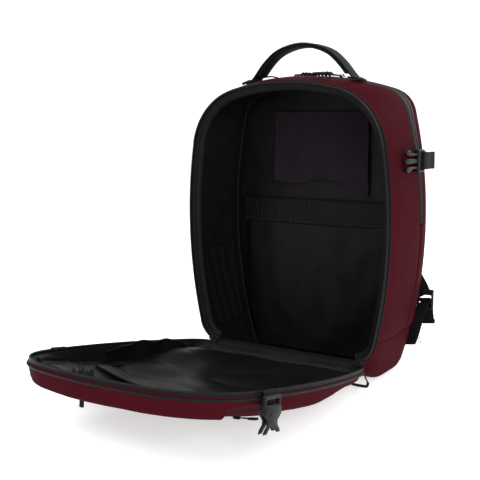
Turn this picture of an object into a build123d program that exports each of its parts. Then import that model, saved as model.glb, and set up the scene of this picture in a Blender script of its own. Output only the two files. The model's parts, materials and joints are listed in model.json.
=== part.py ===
from build123d import *
import os
from math import asin, atan2, cos, degrees, hypot, radians, sin, sqrt

# Travel backpack, front panel unzipped and folded down to the ground.
# Millimetres. X is the wearer's right-to-left, +Y points to the wearer's back,
# +Z is up. The origin is the middle of the flat base that the bag stands on.

# ---- Driving dimensions -------------------------------------------------
RIM_Y = -95.0            # front rim of the bag body
SIDE_R = 700.0           # curve of the long sides, seen from the front
CROWN_R = 400.0          # curve of the top edge
WIDEST_Z = 234.0         # height where the bag is widest
# Cross-sections of the body: depth behind the rim, half-width, bottom, top,
# shoulder radius and bottom-corner radius.
SECTIONS = (
    (0.0, 174.0, 39.0, 439.0, 100.0, 42.0),
    (22.0, 176.0, 15.0, 446.0, 92.0, 32.0),
    (60.0, 175.0, -1.0, 450.0, 68.0, 22.0),
    (125.0, 171.0, -1.5, 450.0, 44.0, 22.0),
    (142.0, 164.0, 3.0, 444.0, 38.0, 20.0),
)
WALL = 3.0               # coated fabric with its foam
LINING = 1.0
FABRIC_GAP = 0.3         # between layers that are sewn only at their edges
SEAM_Z = 70.0            # top of the bottom panel
DIVIDER = (115.0, 118.0)     # back wall of the main compartment, depths
BACK_FOAM = 136.0        # front of the back panel
BACK = 142.0             # back face of the bag
# Laptop zip band on the sides and top: front and rear edge at the top,
# then at its lower end.
BAND_TOP = (88.0, 116.0)
BAND_END = (107.0, 117.0)
BAND_END_Z = 232.0
FABRIC = 1.5             # pocket cloth with its hem
POCKET_DEPTH = 8.0       # slip pocket stands this far off the divider
POCKET_HALF = 148.0
POCKET_LOW = 42.0
BAND_Z = (220.0, 259.0)      # elastic band along the slip pocket's mouth
FLAP_X = (-88.0, 84.0)       # loose flap at the top of the compartment
FLAP_Z = (289.0, 399.0)
TAPE = 8.0               # width of one half of the main zip
CHAIN_GAP = 0.2          # each half of the chain stops this short of the middle
HINGE_HALF = 122.0       # unzipped hinge runs this far each side of the middle
DOOR_SWING = 81.2        # front panel: from closed to lying open
DOOR_DEPTH = 62.0        # middle of the front panel, in front of the chain
DOOR_RIM = 24.0          # least depth of the front panel, at its corners
YOKE_RIM = 32.0          # the same for the yoke, which stands out like a box
DOME_R = 458.0           # bulge of the front panel
DOME_V = 200.0           # deepest point, above the hinge
DOOR_TAPER = 8.0         # front panel's side walls lean in by this much
YOKE_V = 318.0           # seam across the front panel
POCKET_ZIPS = {"upper": (300.0, 118.0, -105.0), "lower": (217.0, 132.0, 80.0)}
HANDLE_X = 88.0
HANDLE_DEPTH = 57.0
HANDLE_Z = 447.5         # line that the handle folds about
HANDLE_RISE = 50.5
HANDLE_TAPER = 8.0       # its ends narrow over this height, so that it can fold
PULL_TILT = 7.0          # the left laptop pull stands off the crown
WEBBING = 25.0
WEB_T = 2.2
BUCKLE_Z = 326.0
STRAP_GAP = 0.4          # running clearance between bodies

HINGE_Y = RIM_Y - TAPE
HINGE_Z = SECTIONS[0][2]
PARTS = {}


# ---- Helpers --------------------------------------------------------------
def block(x0, x1, y0, y1, z0, z1):
    """Box between two corners."""
    middle = Pos((x0 + x1) / 2, (y0 + y1) / 2, (z0 + z1) / 2)
    return middle * Box(x1 - x0, y1 - y0, z1 - z0)


def section_at(depth):
    """Body cross-section at a depth behind the rim."""
    for low, high in zip(SECTIONS, SECTIONS[1:]):
        if depth <= high[0]:
            break
    share = (depth - low[0]) / (high[0] - low[0])
    share = min(max(share, 0.0), 1.0)
    return [a + share * (b - a) for a, b in zip(low[1:], high[1:])]


def arc_centres(section):
    """Centres of the side, crown, shoulder and corner arcs, for X > 0."""
    half, low, high, shoulder, corner = section
    side = (half - SIDE_R, WIDEST_Z)
    crown = (0.0, high - CROWN_R)
    r_side = SIDE_R - shoulder
    r_crown = CROWN_R - shoulder
    span = hypot(side[0] - crown[0], side[1] - crown[1])
    along = (r_side**2 - r_crown**2 + span**2) / (2 * span)
    across = sqrt(r_side**2 - along**2)
    ux, uz = (crown[0] - side[0]) / span, (crown[1] - side[1]) / span
    bend = (side[0] + along * ux - across * uz, side[1] + along * uz + across * ux)
    foot_z = low + corner
    foot_x = side[0] + sqrt((SIDE_R - corner)**2 - (WIDEST_Z - foot_z)**2)
    return side, crown, bend, (foot_x, foot_z)


def toward(centre, through, radius):
    """Point on an arc, in the direction of another point."""
    angle = atan2(through[1] - centre[1], through[0] - centre[0])
    return centre[0] + radius * cos(angle), centre[1] + radius * sin(angle)


def arc_between(centre, start, end, y, mirror=1.0):
    """Arc about a centre, through the middle of its two ends."""
    radius = hypot(start[0] - centre[0], start[1] - centre[1])
    middle = ((start[0] + end[0]) / 2, (start[1] + end[1]) / 2)
    top = toward(centre, middle, radius)
    points = [Vector(mirror * p[0], y, p[1]) for p in (start, top, end)]
    return Edge.make_three_point_arc(*points)


def outline(depth, inset=0.0, section=None):
    """Closed front-view outline of the body at a depth behind the rim."""
    section = section or section_at(depth)
    y = RIM_Y + depth
    side, crown, bend, foot = arc_centres(section)
    low = section[1] + inset
    to_bend = toward(side, bend, SIDE_R - inset)
    to_crown = toward(crown, bend, CROWN_R - inset)
    to_foot = toward(side, foot, SIDE_R - inset)
    base = (foot[0], low)
    peak = (0.0, section[2] - inset)
    right = [
        arc_between(foot, base, to_foot, y),
        arc_between(side, to_foot, to_bend, y),
        arc_between(bend, to_bend, to_crown, y),
        arc_between(crown, to_crown, peak, y),
    ]
    left = [
        arc_between(crown, peak, to_crown, y, -1.0),
        arc_between(bend, to_crown, to_bend, y, -1.0),
        arc_between(side, to_bend, to_foot, y, -1.0),
        arc_between(foot, to_foot, base, y, -1.0),
    ]
    floor = Edge.make_line(Vector(-base[0], y, low), Vector(base[0], y, low))
    return Wire(right + left + [floor])


def body_loft(inset, start, end):
    """Solid body between two depths, inset from the outer surface."""
    middle = [s[0] for s in SECTIONS if start < s[0] < end]
    depths = [start] + middle + [end]
    return Solid.make_loft([outline(d, inset) for d in depths], ruled=True)


def rim_ring(outer, inner, start, end):
    """Band that follows the rim outline."""
    rim = section_at(0.0)
    shell = Solid.make_loft([outline(d, outer, rim) for d in (start, end)], ruled=True)
    core = Solid.make_loft(
        [outline(d, inner, rim) for d in (start - 1, end + 1)], ruled=True)
    return shell - core


def prism_x(points, half=230.0):
    """Side-view polygon of (depth, z) points, extruded across the bag."""
    corners = [Vector(-half, RIM_Y + d, z) for d, z in points]
    face = Face(Wire.make_polygon(corners, close=True))
    return extrude(face, amount=2 * half, dir=(1, 0, 0))


def ribbon(points, thickness, width, plane):
    """Flat webbing: a path in a plane, given a thickness and a width."""
    ahead = [Vector(*b) - Vector(*a) for a, b in zip(points, points[1:])]
    ahead = [v.normalized() for v in ahead]
    turns = [ahead[0]] + [(a + b).normalized() for a, b in zip(ahead, ahead[1:])]
    turns.append(ahead[-1])
    near, far = [], []
    for point, along, run in zip(points, turns, [ahead[0]] + ahead):
        half = thickness / 2 / along.dot(run)
        side = Vector(-along.Y, along.X) * half
        near.append(Vector(*point) + side)
        far.append(Vector(*point) - side)
    wire = Wire.make_polygon(near + far[::-1], close=True)
    face = Face(wire)
    return plane * extrude(face, amount=width / 2, both=True)


def side_plane(x):
    """Plane whose local X is depth (+Y) and local Y is height, at an X."""
    return Plane(origin=(x, 0, 0), x_dir=(0, 1, 0), z_dir=(1, 0, 0))


def front_plane(y):
    """Plane whose local X is +X and local Y is height."""
    return Plane(origin=(0, y, 0), x_dir=(1, 0, 0), z_dir=(0, -1, 0))


def top_plane(z):
    """Plane whose local X is +X and local Y is +Y, at a height."""
    return Plane(origin=(0, 0, z), x_dir=(1, 0, 0), z_dir=(0, 0, 1))


def open_door(shape):
    """Swing a piece of the closed front panel down to where it lies."""
    about = Axis((0, HINGE_Y, HINGE_Z), (1, 0, 0))
    return shape.rotate(about, DOOR_SWING)


def dome(shrink):
    """Ball that rounds the front panel, in its closed position."""
    centre = Pos(0, HINGE_Y - DOOR_DEPTH + DOME_R, HINGE_Z + DOME_V)
    return centre * Sphere(DOME_R - shrink)


def door_form(inset, boxed=True):
    """Front panel's solid form, closed, from its zip tape to its face."""
    rim = section_at(0.0)
    back = -2 * TAPE
    slab_front = -TAPE - DOOR_RIM + inset
    bulge_front = -TAPE - DOOR_DEPTH - 6.0
    lean = DOOR_TAPER * (back - bulge_front) / DOOR_DEPTH
    slab = Solid.make_loft(
        [outline(back, inset, rim), outline(slab_front, inset + 2.0, rim)], ruled=True)
    bulge = Solid.make_loft(
        [outline(back, inset, rim), outline(bulge_front, inset + lean, rim)], ruled=True)
    form = slab + (bulge & dome(inset))
    if not boxed:
        return form
    yoke_front = -TAPE - YOKE_RIM + inset
    box = Solid.make_loft(
        [outline(back, inset, rim), outline(yoke_front, inset + 3.0, rim)], ruled=True)
    return form + (box & block(-300, 300, -400, 0, HINGE_Z + YOKE_V + inset, 600))


def above_ground(shape):
    """Keep what is above the ground."""
    return shape & block(-300, 300, -700, 300, 0, 600)


def rim_slab(inset, depth_from, depth_to):
    """Solid rim outline between two depths."""
    rim = section_at(0.0)
    return Solid.make_loft(
        [outline(depth_from, inset, rim), outline(depth_to, inset, rim)], ruled=True)


def mirror_x(shape):
    """The same piece on the other side of the bag."""
    return mirror(shape, about=Plane.YZ)


def side_x(depth, z):
    """Half-width of the body's side surface at a depth and height."""
    half = section_at(depth)[0]
    return half - SIDE_R + sqrt(SIDE_R**2 - (z - WIDEST_Z)**2)


def dome_depth(x, v):
    """Depth of the front panel's face in front of the chain."""
    return DOOR_DEPTH - DOME_R + sqrt(DOME_R**2 - x**2 - (v - DOME_V)**2)


# ---- Bag body ---------------------------------------------------------------
def make_body():
    """Outer panels, divider and back panel of the bag."""
    solid = above_ground(body_loft(0.0, 0.0, BACK))
    shell = solid - body_loft(WALL, -1.0, BACK_FOAM)
    upper = block(-230, 230, -200, 200, SEAM_Z, 480)
    lower = block(-230, 230, -200, 200, -10, SEAM_Z)
    rear_z = BAND_END_Z
    front = prism_x([(-5, 40), (-5, 480), (BAND_TOP[0], 480), (BAND_TOP[0], 450),
                     (BAND_END[0], rear_z), (102, 40)])
    band = prism_x([(BAND_TOP[0], 450), (BAND_TOP[0], 480), (BAND_TOP[1], 480),
                    (BAND_TOP[1], 450), (BAND_END[1], rear_z), (BAND_END[0], rear_z)])
    ring = shell - block(-230, 230, RIM_Y + BACK_FOAM, 200, -10, 480)
    PARTS["main_gusset"] = ring & upper & front
    PARTS["laptop_zip_tape"] = ring & upper & band
    PARTS["rear_gusset"] = ring & upper - front - band
    PARTS["bottom_panel"] = ring & lower
    PARTS["back_panel"] = shell & block(-230, 230, RIM_Y + BACK_FOAM, 200, -10, 480)
    inner = WALL + FABRIC_GAP
    dry = block(-230, 230, -200, 200, WALL, 480)
    PARTS["divider_panel"] = body_loft(inner, *DIVIDER) & dry
    PARTS["laptop_sleeve_pad"] = body_loft(inner, DIVIDER[1], BACK_FOAM) & dry
    skin = body_loft(inner, 0.5, DIVIDER[0])
    skin = skin - body_loft(inner + LINING, -0.5, DIVIDER[0] + 1)
    PARTS["lining_gusset"] = skin & dry


def make_main_zip():
    """Zip on the body's rim, and the hinge strip where it stops."""
    stop = block(-HINGE_HALF, HINGE_HALF, -300, 0, 0, HINGE_Z + 20)
    tape = rim_ring(0.5, 2.5, -TAPE + CHAIN_GAP, 0.0)
    coil = rim_ring(2.5, 4.8, -TAPE + CHAIN_GAP, -TAPE + 3.5)
    PARTS["body_zip"] = (tape + coil) - stop
    half = HINGE_HALF - 1
    PARTS["hinge_strip_body"] = block(
        -half, half, HINGE_Y + 1, RIM_Y, HINGE_Z, HINGE_Z + 2)
    strip = block(-half, half, HINGE_Y - TAPE, HINGE_Y - 1, HINGE_Z, HINGE_Z + 2)
    PARTS["hinge_strip_door"] = open_door(strip)
    tape = rim_ring(0.5, 2.5, -2 * TAPE, -TAPE - CHAIN_GAP)
    coil = rim_ring(2.5, 4.8, -TAPE - 3.5, -TAPE - CHAIN_GAP)
    PARTS["door_zip"] = open_door((tape + coil) - stop)


def make_interior():
    """Pockets and the loose flap inside the main compartment."""
    back = RIM_Y + DIVIDER[0]
    inner = WALL + LINING + 2 * FABRIC_GAP
    room = body_loft(inner, 95.0, DIVIDER[0]) & block(-300, 300, -300, 300, 6, 480)
    front = back - POCKET_DEPTH
    half = POCKET_HALF
    cloth = front + FABRIC
    PARTS["slip_pocket"] = room & block(-half, half, front, cloth, POCKET_LOW, BAND_Z[0])
    PARTS["elastic_band"] = room & block(-half, half, front, cloth, *BAND_Z)
    sides = room & block(-half, half, cloth, back, POCKET_LOW, BAND_Z[1])
    PARTS["pocket_gusset"] = sides - block(
        -half + 3, half - 3, cloth - 1, back + 1, POCKET_LOW + 3, BAND_Z[1] + 1)
    flap = block(*FLAP_X, back - 5, back - 3, *FLAP_Z)
    head = block(*FLAP_X, back - 3, back, FLAP_Z[1] - 8, FLAP_Z[1])
    PARTS["hanging_flap"] = flap + head
    wall = body_loft(inner, 5.0, 92.0) - body_loft(inner + 4.0, 0.0, 96.0)
    PARTS["inner_side_pocket"] = wall & block(-200, 0, RIM_Y + 8, RIM_Y + 90, 52, 182)


# ---- Front panel --------------------------------------------------------------
def make_door():
    """Front panel: a shallow domed tray that folds down on its hinge."""
    shell = door_form(0.0) - door_form(WALL) - rim_slab(WALL, -2 * TAPE - 1, -2 * TAPE + 1)
    yoke = block(-300, 300, -400, 0, HINGE_Z + YOKE_V, 600)
    PARTS["door_main_panel"] = above_ground(open_door(shell - yoke))
    PARTS["door_yoke_panel"] = above_ground(open_door(shell & yoke))
    inner = WALL + FABRIC_GAP
    skin = door_form(inner, False) - door_form(inner + LINING, False)
    skin = skin - rim_slab(inner + LINING, -2 * TAPE - 1, -2 * TAPE + 1)
    skin = skin & block(-300, 300, -400, HINGE_Y - TAPE - 0.5, 0, 600)
    clear_floor = block(-300, 300, -700, 300, 2.6, 600)
    PARTS["door_lining"] = open_door(skin) & clear_floor
    bag = door_form(inner + LINING + FABRIC_GAP, False)
    bag = bag - door_form(inner + LINING + 3.0, False)
    bag = bag & block(-145, 145, -300, HINGE_Y - 24, HINGE_Z + 30, HINGE_Z + 250)
    PARTS["door_inner_pocket"] = open_door(bag) & clear_floor
    flap = block(-152, -150, HINGE_Y - 16, HINGE_Y + 6, HINGE_Z + 60, HINGE_Z + 190)
    PARTS["door_flap"] = open_door(flap)


def make_pocket_zip(name):
    """One pocket zip across the front panel, with its slider and pull."""
    v, reach, slider_x = POCKET_ZIPS[name]
    z = HINGE_Z + v
    tape = dome(-0.6) - dome(0.0)
    tape = tape & block(-reach, reach, -300, HINGE_Y - 10, z - 7, z + 7)
    PARTS[f"pocket_zip_{name}"] = open_door(tape)
    side = 1.0 if slider_x > 0 else -1.0
    angle = degrees(asin(slider_x / DOME_R))
    axis = Axis((0, HINGE_Y - DOOR_DEPTH + DOME_R, z), (0, 0, 1))
    front = HINGE_Y - dome_depth(0.0, v)
    gap = 1.2 + 4.0 * abs(v - DOME_V) / DOME_R
    slider = block(-5, 5, front - gap - 3.2, front - gap, z - 4, z + 4)
    PARTS[f"pocket_slider_{name}"] = open_door(slider.rotate(axis, angle))
    if name == "upper":
        x, depth, hang = slider_x, dome_depth(slider_x, v) + gap + 5.9, 24.0
        pull = block(x - 3.5, x + 3.5, HINGE_Y - depth - hang, HINGE_Y - depth, z - 2, z + 2)
    else:
        reach_x = slider_x + side * 7
        depth = dome_depth(slider_x, v)
        near = HINGE_Y - depth
        pull = block(reach_x, reach_x + 26, near - 4.6, near - 1.2, z - 4, z + 3)
        pull = pull.rotate(Axis((reach_x, near - 3, z), (0, 0, 1)), side * 10.0)
    PARTS[f"pocket_pull_{name}"] = open_door(pull)


def make_female_buckle():
    """Side-release buckle socket that hangs from the front panel's side wall."""
    z = BUCKLE_Z
    wall = side_x(0.0, z) + 1.5
    top = HINGE_Y - 2.0
    tab = block(wall, wall + WEB_T, top - 16, top, z - 12.5, z + 12.5)
    wall = wall + WEB_T + STRAP_GAP
    hook = block(wall, wall + 3.0, top - 14, top - 2, z - 12.5, z + 12.5)
    body = block(wall, wall + 9.4, top - 46, top - 14, z - 17, z + 17)
    mouth = block(wall + 2.0, wall + 7.4, top - 48, top - 18, z - 13, z + 13)
    notch = Pos(wall + 8, top - 34, z) * Cylinder(8, 50, rotation=(0, 90, 0))
    socket = hook + (body - mouth)
    for sign in (-1, 1):
        socket = socket - notch.translate((0, 0, sign * 20))
    parts = {"tab": tab, "female": socket}
    for side, label in ((1, "right"), (-1, "left")):
        for name, shape in parts.items():
            piece = shape if side == 1 else mirror_x(shape)
            PARTS[f"buckle_{name}_{label}"] = open_door(piece)


# ---- Top and sides ------------------------------------------------------------
def make_handle():
    """Grab handle of webbing, hinged on its two sewn feet."""
    radius = (HANDLE_X**2 + HANDLE_RISE**2) / (2 * HANDLE_RISE)
    centre = Pos(0, RIM_Y + HANDLE_DEPTH, HANDLE_Z + HANDLE_RISE - radius)
    drum = centre * Cylinder(radius, WEBBING, rotation=(90, 0, 0))
    core = centre * Cylinder(radius - 4.0, WEBBING + 2, rotation=(90, 0, 0))
    y = RIM_Y + HANDLE_DEPTH
    narrow, wide = 2.0, WEBBING / 2
    low, high = HANDLE_Z + 0.3, HANDLE_Z + HANDLE_TAPER
    depth = HANDLE_DEPTH
    keep = prism_x([(depth - narrow, low), (depth + narrow, low), (depth + wide, high),
                    (depth + wide, 520), (depth - wide, 520), (depth - wide, high)])
    PARTS["handle"] = (drum - core) & keep
    for side, label in ((1, "right"), (-1, "left")):
        x = side * (HANDLE_X - 3)
        foot = block(x - 14, x + 14, y - 13.5, y + 13.5, HANDLE_Z - 20, HANDLE_Z)
        trim = body_loft(0.0, HANDLE_DEPTH - 20, HANDLE_DEPTH + 20)
        cap = body_loft(-3.5, HANDLE_DEPTH - 20, HANDLE_DEPTH + 20)
        PARTS[f"handle_foot_{label}"] = (foot & cap) - trim


def make_male_buckle():
    """Side-release buckle plug on a short strap sewn into the body's side."""
    z = BUCKLE_Z
    x = side_x(100.0, z)
    strap = [(x + 2.6, RIM_Y + 126), (x + 9.5, RIM_Y + 119), (x + 12.0, RIM_Y + 96)]
    web = ribbon(strap, WEB_T, WEBBING, top_plane(z))
    frame = block(x + 7.6, x + 18.0, RIM_Y + 74, RIM_Y + 95.5, z - 16, z + 16)
    window = block(x + 6, x + 20, RIM_Y + 80, RIM_Y + 90, z - 12.5, z + 12.5)
    prongs = block(x + 9.5, x + 14.5, RIM_Y + 36, RIM_Y + 74, z - 3, z + 3)
    for sign in (-1, 1):
        low, high = sorted((sign * 9.0, sign * 14.5))
        prongs = prongs + block(x + 9, x + 15, RIM_Y + 38, RIM_Y + 74, z + low, z + high)
    plug = (frame - window) + prongs
    pieces = {"buckle_male": plug, "side_strap": web}
    for name, shape in pieces.items():
        PARTS[f"{name}_right"] = shape
        PARTS[f"{name}_left"] = mirror_x(shape)


def make_main_slider():
    """Main zip slider parked at the bottom corner, with its cord loop."""
    rim = section_at(0.0)
    foot = arc_centres(rim)[3]
    turn = 25.0
    low = rim[1]
    slider = block(foot[0] - 4.5, foot[0] + 4.5, RIM_Y - 9.5, RIM_Y - 1.0, low - 5.0, low - 0.4)
    slider = slider.rotate(Axis((foot[0], 0, foot[1]), (0, 1, 0)), -turn)
    reach = foot[1] - low + 3.0
    x = foot[0] + reach * sin(radians(turn))
    z = foot[1] - reach * cos(radians(turn)) - 5.0
    loop = [(x, z), (x - 15, z - 30), (x + 15, z - 30)]
    face = Face(Wire.make_polygon([Vector(px, RIM_Y - 7, pz) for px, pz in loop], close=True))
    plate = extrude(face, amount=3.4, dir=(0, 1, 0))
    inner = [(x, z - 8), (x - 9.5, z - 25), (x + 9.5, z - 25)]
    hole = Face(Wire.make_polygon([Vector(px, RIM_Y - 9, pz) for px, pz in inner], close=True))
    pull = plate - extrude(hole, amount=8, dir=(0, 1, 0))
    for name, shape in (("slider", slider), ("pull", pull)):
        PARTS[f"main_{name}_right"] = shape
        PARTS[f"main_{name}_left"] = mirror_x(shape)


def make_laptop_sliders():
    """Two sliders on the laptop zip over the crown, each with a cord pull."""
    depth = sum(BAND_TOP) / 2
    section = section_at(depth)
    centre_z = section[2] - CROWN_R
    axis = Axis((0, 0, centre_z), (0, 1, 0))
    y = RIM_Y + depth
    top = section[2]
    slider = block(-6, 6, y - 4.5, y + 4.5, top + 0.4, top + 4.4)
    left_pull = block(-80, -9.0, y - 16, y - 10, top + 1.2, top + 4.2)
    left_pull = left_pull + block(-11, -7.4, y - 16, y + 2, top + 1.2, top + 4.2)
    left_pull = left_pull.rotate(Axis((-9.2, 0, top + 2.7), (0, 1, 0)), PULL_TILT)
    right_pull = block(-3, 3, y - 62, y - 5.2, top + 1.0, top + 4.0)
    right_pull = right_pull + block(-14, 14, y - 74, y - 62, top + 1.0, top + 4.4)
    for label, x, pull in (("left", -58.0, left_pull), ("right", 40.0, right_pull)):
        angle = degrees(asin(x / CROWN_R))
        PARTS[f"laptop_slider_{label}"] = slider.rotate(axis, angle)
        PARTS[f"laptop_pull_{label}"] = pull.rotate(axis, angle)


# ---- Back ---------------------------------------------------------------------
def make_back():
    """Back padding, luggage sleeve, hang loop and shoulder straps."""
    y = RIM_Y + BACK
    pad = block(-52, 52, y, y + 8, 30, 100)
    PARTS["lumbar_pad"] = fillet(pad.edges().filter_by(Axis.Y), 12)
    for side, label in ((1, "right"), (-1, "left")):
        low, high = sorted((side * 12.0, side * 96.0))
        pad = block(low, high, y, y + 8, 180, 380)
        PARTS[f"back_pad_{label}"] = fillet(pad.edges().filter_by(Axis.Y), 18)
    sleeve = block(-120, 120, y + 0.5, y + 9.5, 110, 170) - block(-112, 112, y + 0.5, y + 8.0, 100, 180)
    tabs = block(-120, -112, y, y + 1, 110, 170) + block(112, 120, y, y + 1, 110, 170)
    PARTS["luggage_sleeve"] = sleeve + tabs
    loop = block(-22, 22, y, y + 14, 414, 430) - block(-15, 15, y + 2, y + 11.8, 400, 440)
    root = block(-22, 22, y, y + 2, 406, 414)
    PARTS["hang_loop"] = loop + root + block(-84, 84, y, y + 6.0, 396, 407)


def make_shoulder_strap():
    """One padded shoulder strap with its buckle, webbing and chest strap."""
    y = RIM_Y + BACK + 10.5
    spine = [(58, 426), (74, 340), (104, 240), (138, 150), (158, 118)]
    pad = ribbon(spine[:4], 58.0, 10.0, front_plane(y + 5.0))
    PARTS["shoulder_pad_right"] = pad
    lock = block(147, 175, y + 1, y + 9, 92, 124)
    lock = lock - block(151, 171, y - 1, y + 11, 99, 105) - block(151, 171, y - 1, y + 11, 109, 115)
    tongue = ribbon([(141, 143.5), (154, 121)], 25.0, 3.0, front_plane(y + 5.0))
    tail = ribbon([(162, 98), (170, 60)], 20.0, 2.0, front_plane(y + 7.0))
    PARTS["strap_adjuster_right"] = lock + tongue + tail
    lower = ribbon([(152, 40), (160, 90)], 20.0, 2.0, front_plane(y - 3.0))
    PARTS["strap_webbing_right"] = lower
    chest = block(32, 100, y + 11, y + 13.5, 318, 338)
    clip = block(18, 34, y + 10.8, y + 17, 315, 341)
    PARTS["chest_strap_right"] = chest + clip
    for name in ("shoulder_pad", "strap_adjuster", "strap_webbing", "chest_strap"):
        PARTS[f"{name}_left"] = mirror_x(PARTS[f"{name}_right"])


def main():
    """Build every piece and write one file for each."""
    make_body()
    make_main_zip()
    make_interior()
    make_door()
    for name in POCKET_ZIPS:
        make_pocket_zip(name)
    make_female_buckle()
    make_handle()
    make_male_buckle()
    make_main_slider()
    make_laptop_sliders()
    make_back()
    make_shoulder_strap()
    os.makedirs("parts", exist_ok=True)
    for name, shape in PARTS.items():
        export_step(shape, f"parts/{name}.step")


main()
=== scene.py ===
import json
from math import atan2, cos, exp, hypot, pi, radians, sin, sqrt

import bmesh
import bpy
from mathutils import Matrix, Vector, noise

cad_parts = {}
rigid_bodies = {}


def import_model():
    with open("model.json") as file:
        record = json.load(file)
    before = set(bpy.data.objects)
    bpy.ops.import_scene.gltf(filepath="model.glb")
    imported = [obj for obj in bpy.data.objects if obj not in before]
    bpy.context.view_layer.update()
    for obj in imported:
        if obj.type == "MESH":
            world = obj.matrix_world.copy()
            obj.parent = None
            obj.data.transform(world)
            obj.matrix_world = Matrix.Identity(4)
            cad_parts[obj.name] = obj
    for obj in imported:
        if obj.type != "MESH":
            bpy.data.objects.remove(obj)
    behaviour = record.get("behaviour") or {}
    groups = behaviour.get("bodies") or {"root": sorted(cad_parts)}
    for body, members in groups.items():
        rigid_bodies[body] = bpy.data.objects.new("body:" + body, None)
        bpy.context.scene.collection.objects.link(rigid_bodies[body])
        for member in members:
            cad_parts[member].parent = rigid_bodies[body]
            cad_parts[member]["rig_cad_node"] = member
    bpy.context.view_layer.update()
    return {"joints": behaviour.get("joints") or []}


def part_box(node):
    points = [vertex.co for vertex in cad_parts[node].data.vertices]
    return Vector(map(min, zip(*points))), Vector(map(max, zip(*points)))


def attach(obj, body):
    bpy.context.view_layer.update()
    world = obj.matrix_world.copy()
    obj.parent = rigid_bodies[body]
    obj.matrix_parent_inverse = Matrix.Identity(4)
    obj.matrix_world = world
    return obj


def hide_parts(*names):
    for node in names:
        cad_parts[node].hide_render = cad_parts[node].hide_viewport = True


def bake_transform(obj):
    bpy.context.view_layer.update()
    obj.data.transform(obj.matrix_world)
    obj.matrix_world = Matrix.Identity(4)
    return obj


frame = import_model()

JOINTS = {j["name"]: j for j in frame["joints"]}
RIM_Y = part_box("hinge_strip_body")[1].y
HINGE = Vector(JOINTS["front_panel_hinge"]["pos_m"])
SWING = radians(-JOINTS["front_panel_hinge"]["range_deg"][0])
SIDE_R = 0.700
CROWN_R = 0.400
WIDEST_Z = 0.234
# Body cross-sections: depth behind the rim, half-width, bottom, top,
# shoulder radius and bottom-corner radius.
SECTIONS = (
    (0.000, 0.174, 0.039, 0.439, 0.100, 0.042),
    (0.022, 0.176, 0.015, 0.446, 0.092, 0.032),
    (0.060, 0.175, -0.001, 0.450, 0.068, 0.022),
    (0.125, 0.171, -0.0015, 0.450, 0.044, 0.022),
    (0.142, 0.164, 0.003, 0.444, 0.038, 0.020),
)
SMOOTHING = 0.009        # the sections blend over this depth
LAST_EDGE = 8.0          # outline edges 0 to 8: right foot ... left foot, floor
BACK = 0.142
DIVIDER = 0.115
SEAM_Z = 0.070
BAND_FRONT = (0.088, 0.107)
BAND_REAR = (0.116, 0.117)
BAND_END_Z = 0.232
TAPE = 0.008
HINGE_HALF = 0.122
DOOR_DEPTH = 0.062
DOOR_RIM = 0.023
YOKE_RIM = 0.033
DOME_R = 0.458
DOME_V = 0.200
DOOR_TAPER = 0.008
YOKE_V = 0.318
WALL = 0.003
GROUND = 0.0006


# ---- Shape of the bag -----------------------------------------------------
def section_at(depth):
    """Body cross-section at a depth, blended where the sections meet."""
    total = [0.0] * 5
    shifts = (-1.0, -0.5, 0.0, 0.5, 1.0)
    for shift in shifts:
        at = min(max(depth + shift * SMOOTHING, 0.0), BACK)
        if depth + shift * SMOOTHING < 0.0 or depth + shift * SMOOTHING > BACK:
            at = depth
        for low, high in zip(SECTIONS, SECTIONS[1:]):
            if at <= high[0]:
                break
        share = (at - low[0]) / (high[0] - low[0])
        for i in range(5):
            total[i] += low[i + 1] + share * (high[i + 1] - low[i + 1])
    return [value / len(shifts) for value in total]


ARCS = {}


def arcs_at(depth):
    """Right-hand arcs of the outline: centre, radius and end angles."""
    key = round(depth, 5)
    if key in ARCS:
        return ARCS[key]
    half, low, high, shoulder, corner = section_at(depth)
    side = (half - SIDE_R, WIDEST_Z)
    crown = (0.0, high - CROWN_R)
    r_side, r_crown = SIDE_R - shoulder, CROWN_R - shoulder
    span = hypot(side[0] - crown[0], side[1] - crown[1])
    along = (r_side**2 - r_crown**2 + span**2) / (2 * span)
    across = sqrt(r_side**2 - along**2)
    ux, uz = (crown[0] - side[0]) / span, (crown[1] - side[1]) / span
    bend = (side[0] + along * ux - across * uz, side[1] + along * uz + across * ux)
    foot_z = low + corner
    foot = (side[0] + sqrt((SIDE_R - corner)**2 - (WIDEST_Z - foot_z)**2), foot_z)
    a_foot = atan2(foot[1] - side[1], foot[0] - side[0])
    a_side = atan2(bend[1] - side[1], bend[0] - side[0])
    a_bend = atan2(bend[1] - crown[1], bend[0] - crown[0])
    ARCS[key] = (
        (foot, corner, -pi / 2, a_foot),
        (side, SIDE_R, a_foot, a_side),
        (bend, shoulder, a_side, a_bend),
        (crown, CROWN_R, a_bend, pi / 2),
    )
    return ARCS[key]


def outline(s, depth, inset=0.0):
    """Point (x, z) of the outline and its outward direction, at edge number s."""
    s = s % 9.0
    arcs = arcs_at(depth)
    if s >= LAST_EDGE:
        foot_x = arcs[0][0][0]
        low = arcs[0][0][1] - arcs[0][1]
        return -foot_x + 2 * foot_x * (s - LAST_EDGE), low + inset, 0.0, -1.0
    mirror = 1.0
    if s > 4.0:
        s, mirror = 8.0 - s, -1.0
    index = min(int(s), 3)
    centre, radius, start, end = arcs[index]
    angle = start + (end - start) * (s - index)
    reach = radius - inset
    return (mirror * (centre[0] + reach * cos(angle)), centre[1] + reach * sin(angle),
            mirror * cos(angle), sin(angle))


def on_body(s, depth, inset=0.0):
    """Point on the body's surface, moved inward by inset."""
    x, z, _, _ = outline(s, depth, inset)
    return Vector((x, RIM_Y + depth, z))


def edge_at_height(z, depth):
    """Right-hand edge number where the outline reaches a height."""
    low, high = 0.0, 3.99
    for _ in range(22):
        middle = (low + high) / 2
        if outline(middle, depth)[1] < z:
            low = middle
        else:
            high = middle
    return (low + high) / 2


def side_x(depth, z):
    """Half-width of the body at a depth and height."""
    return outline(edge_at_height(z, depth), depth)[0]


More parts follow.
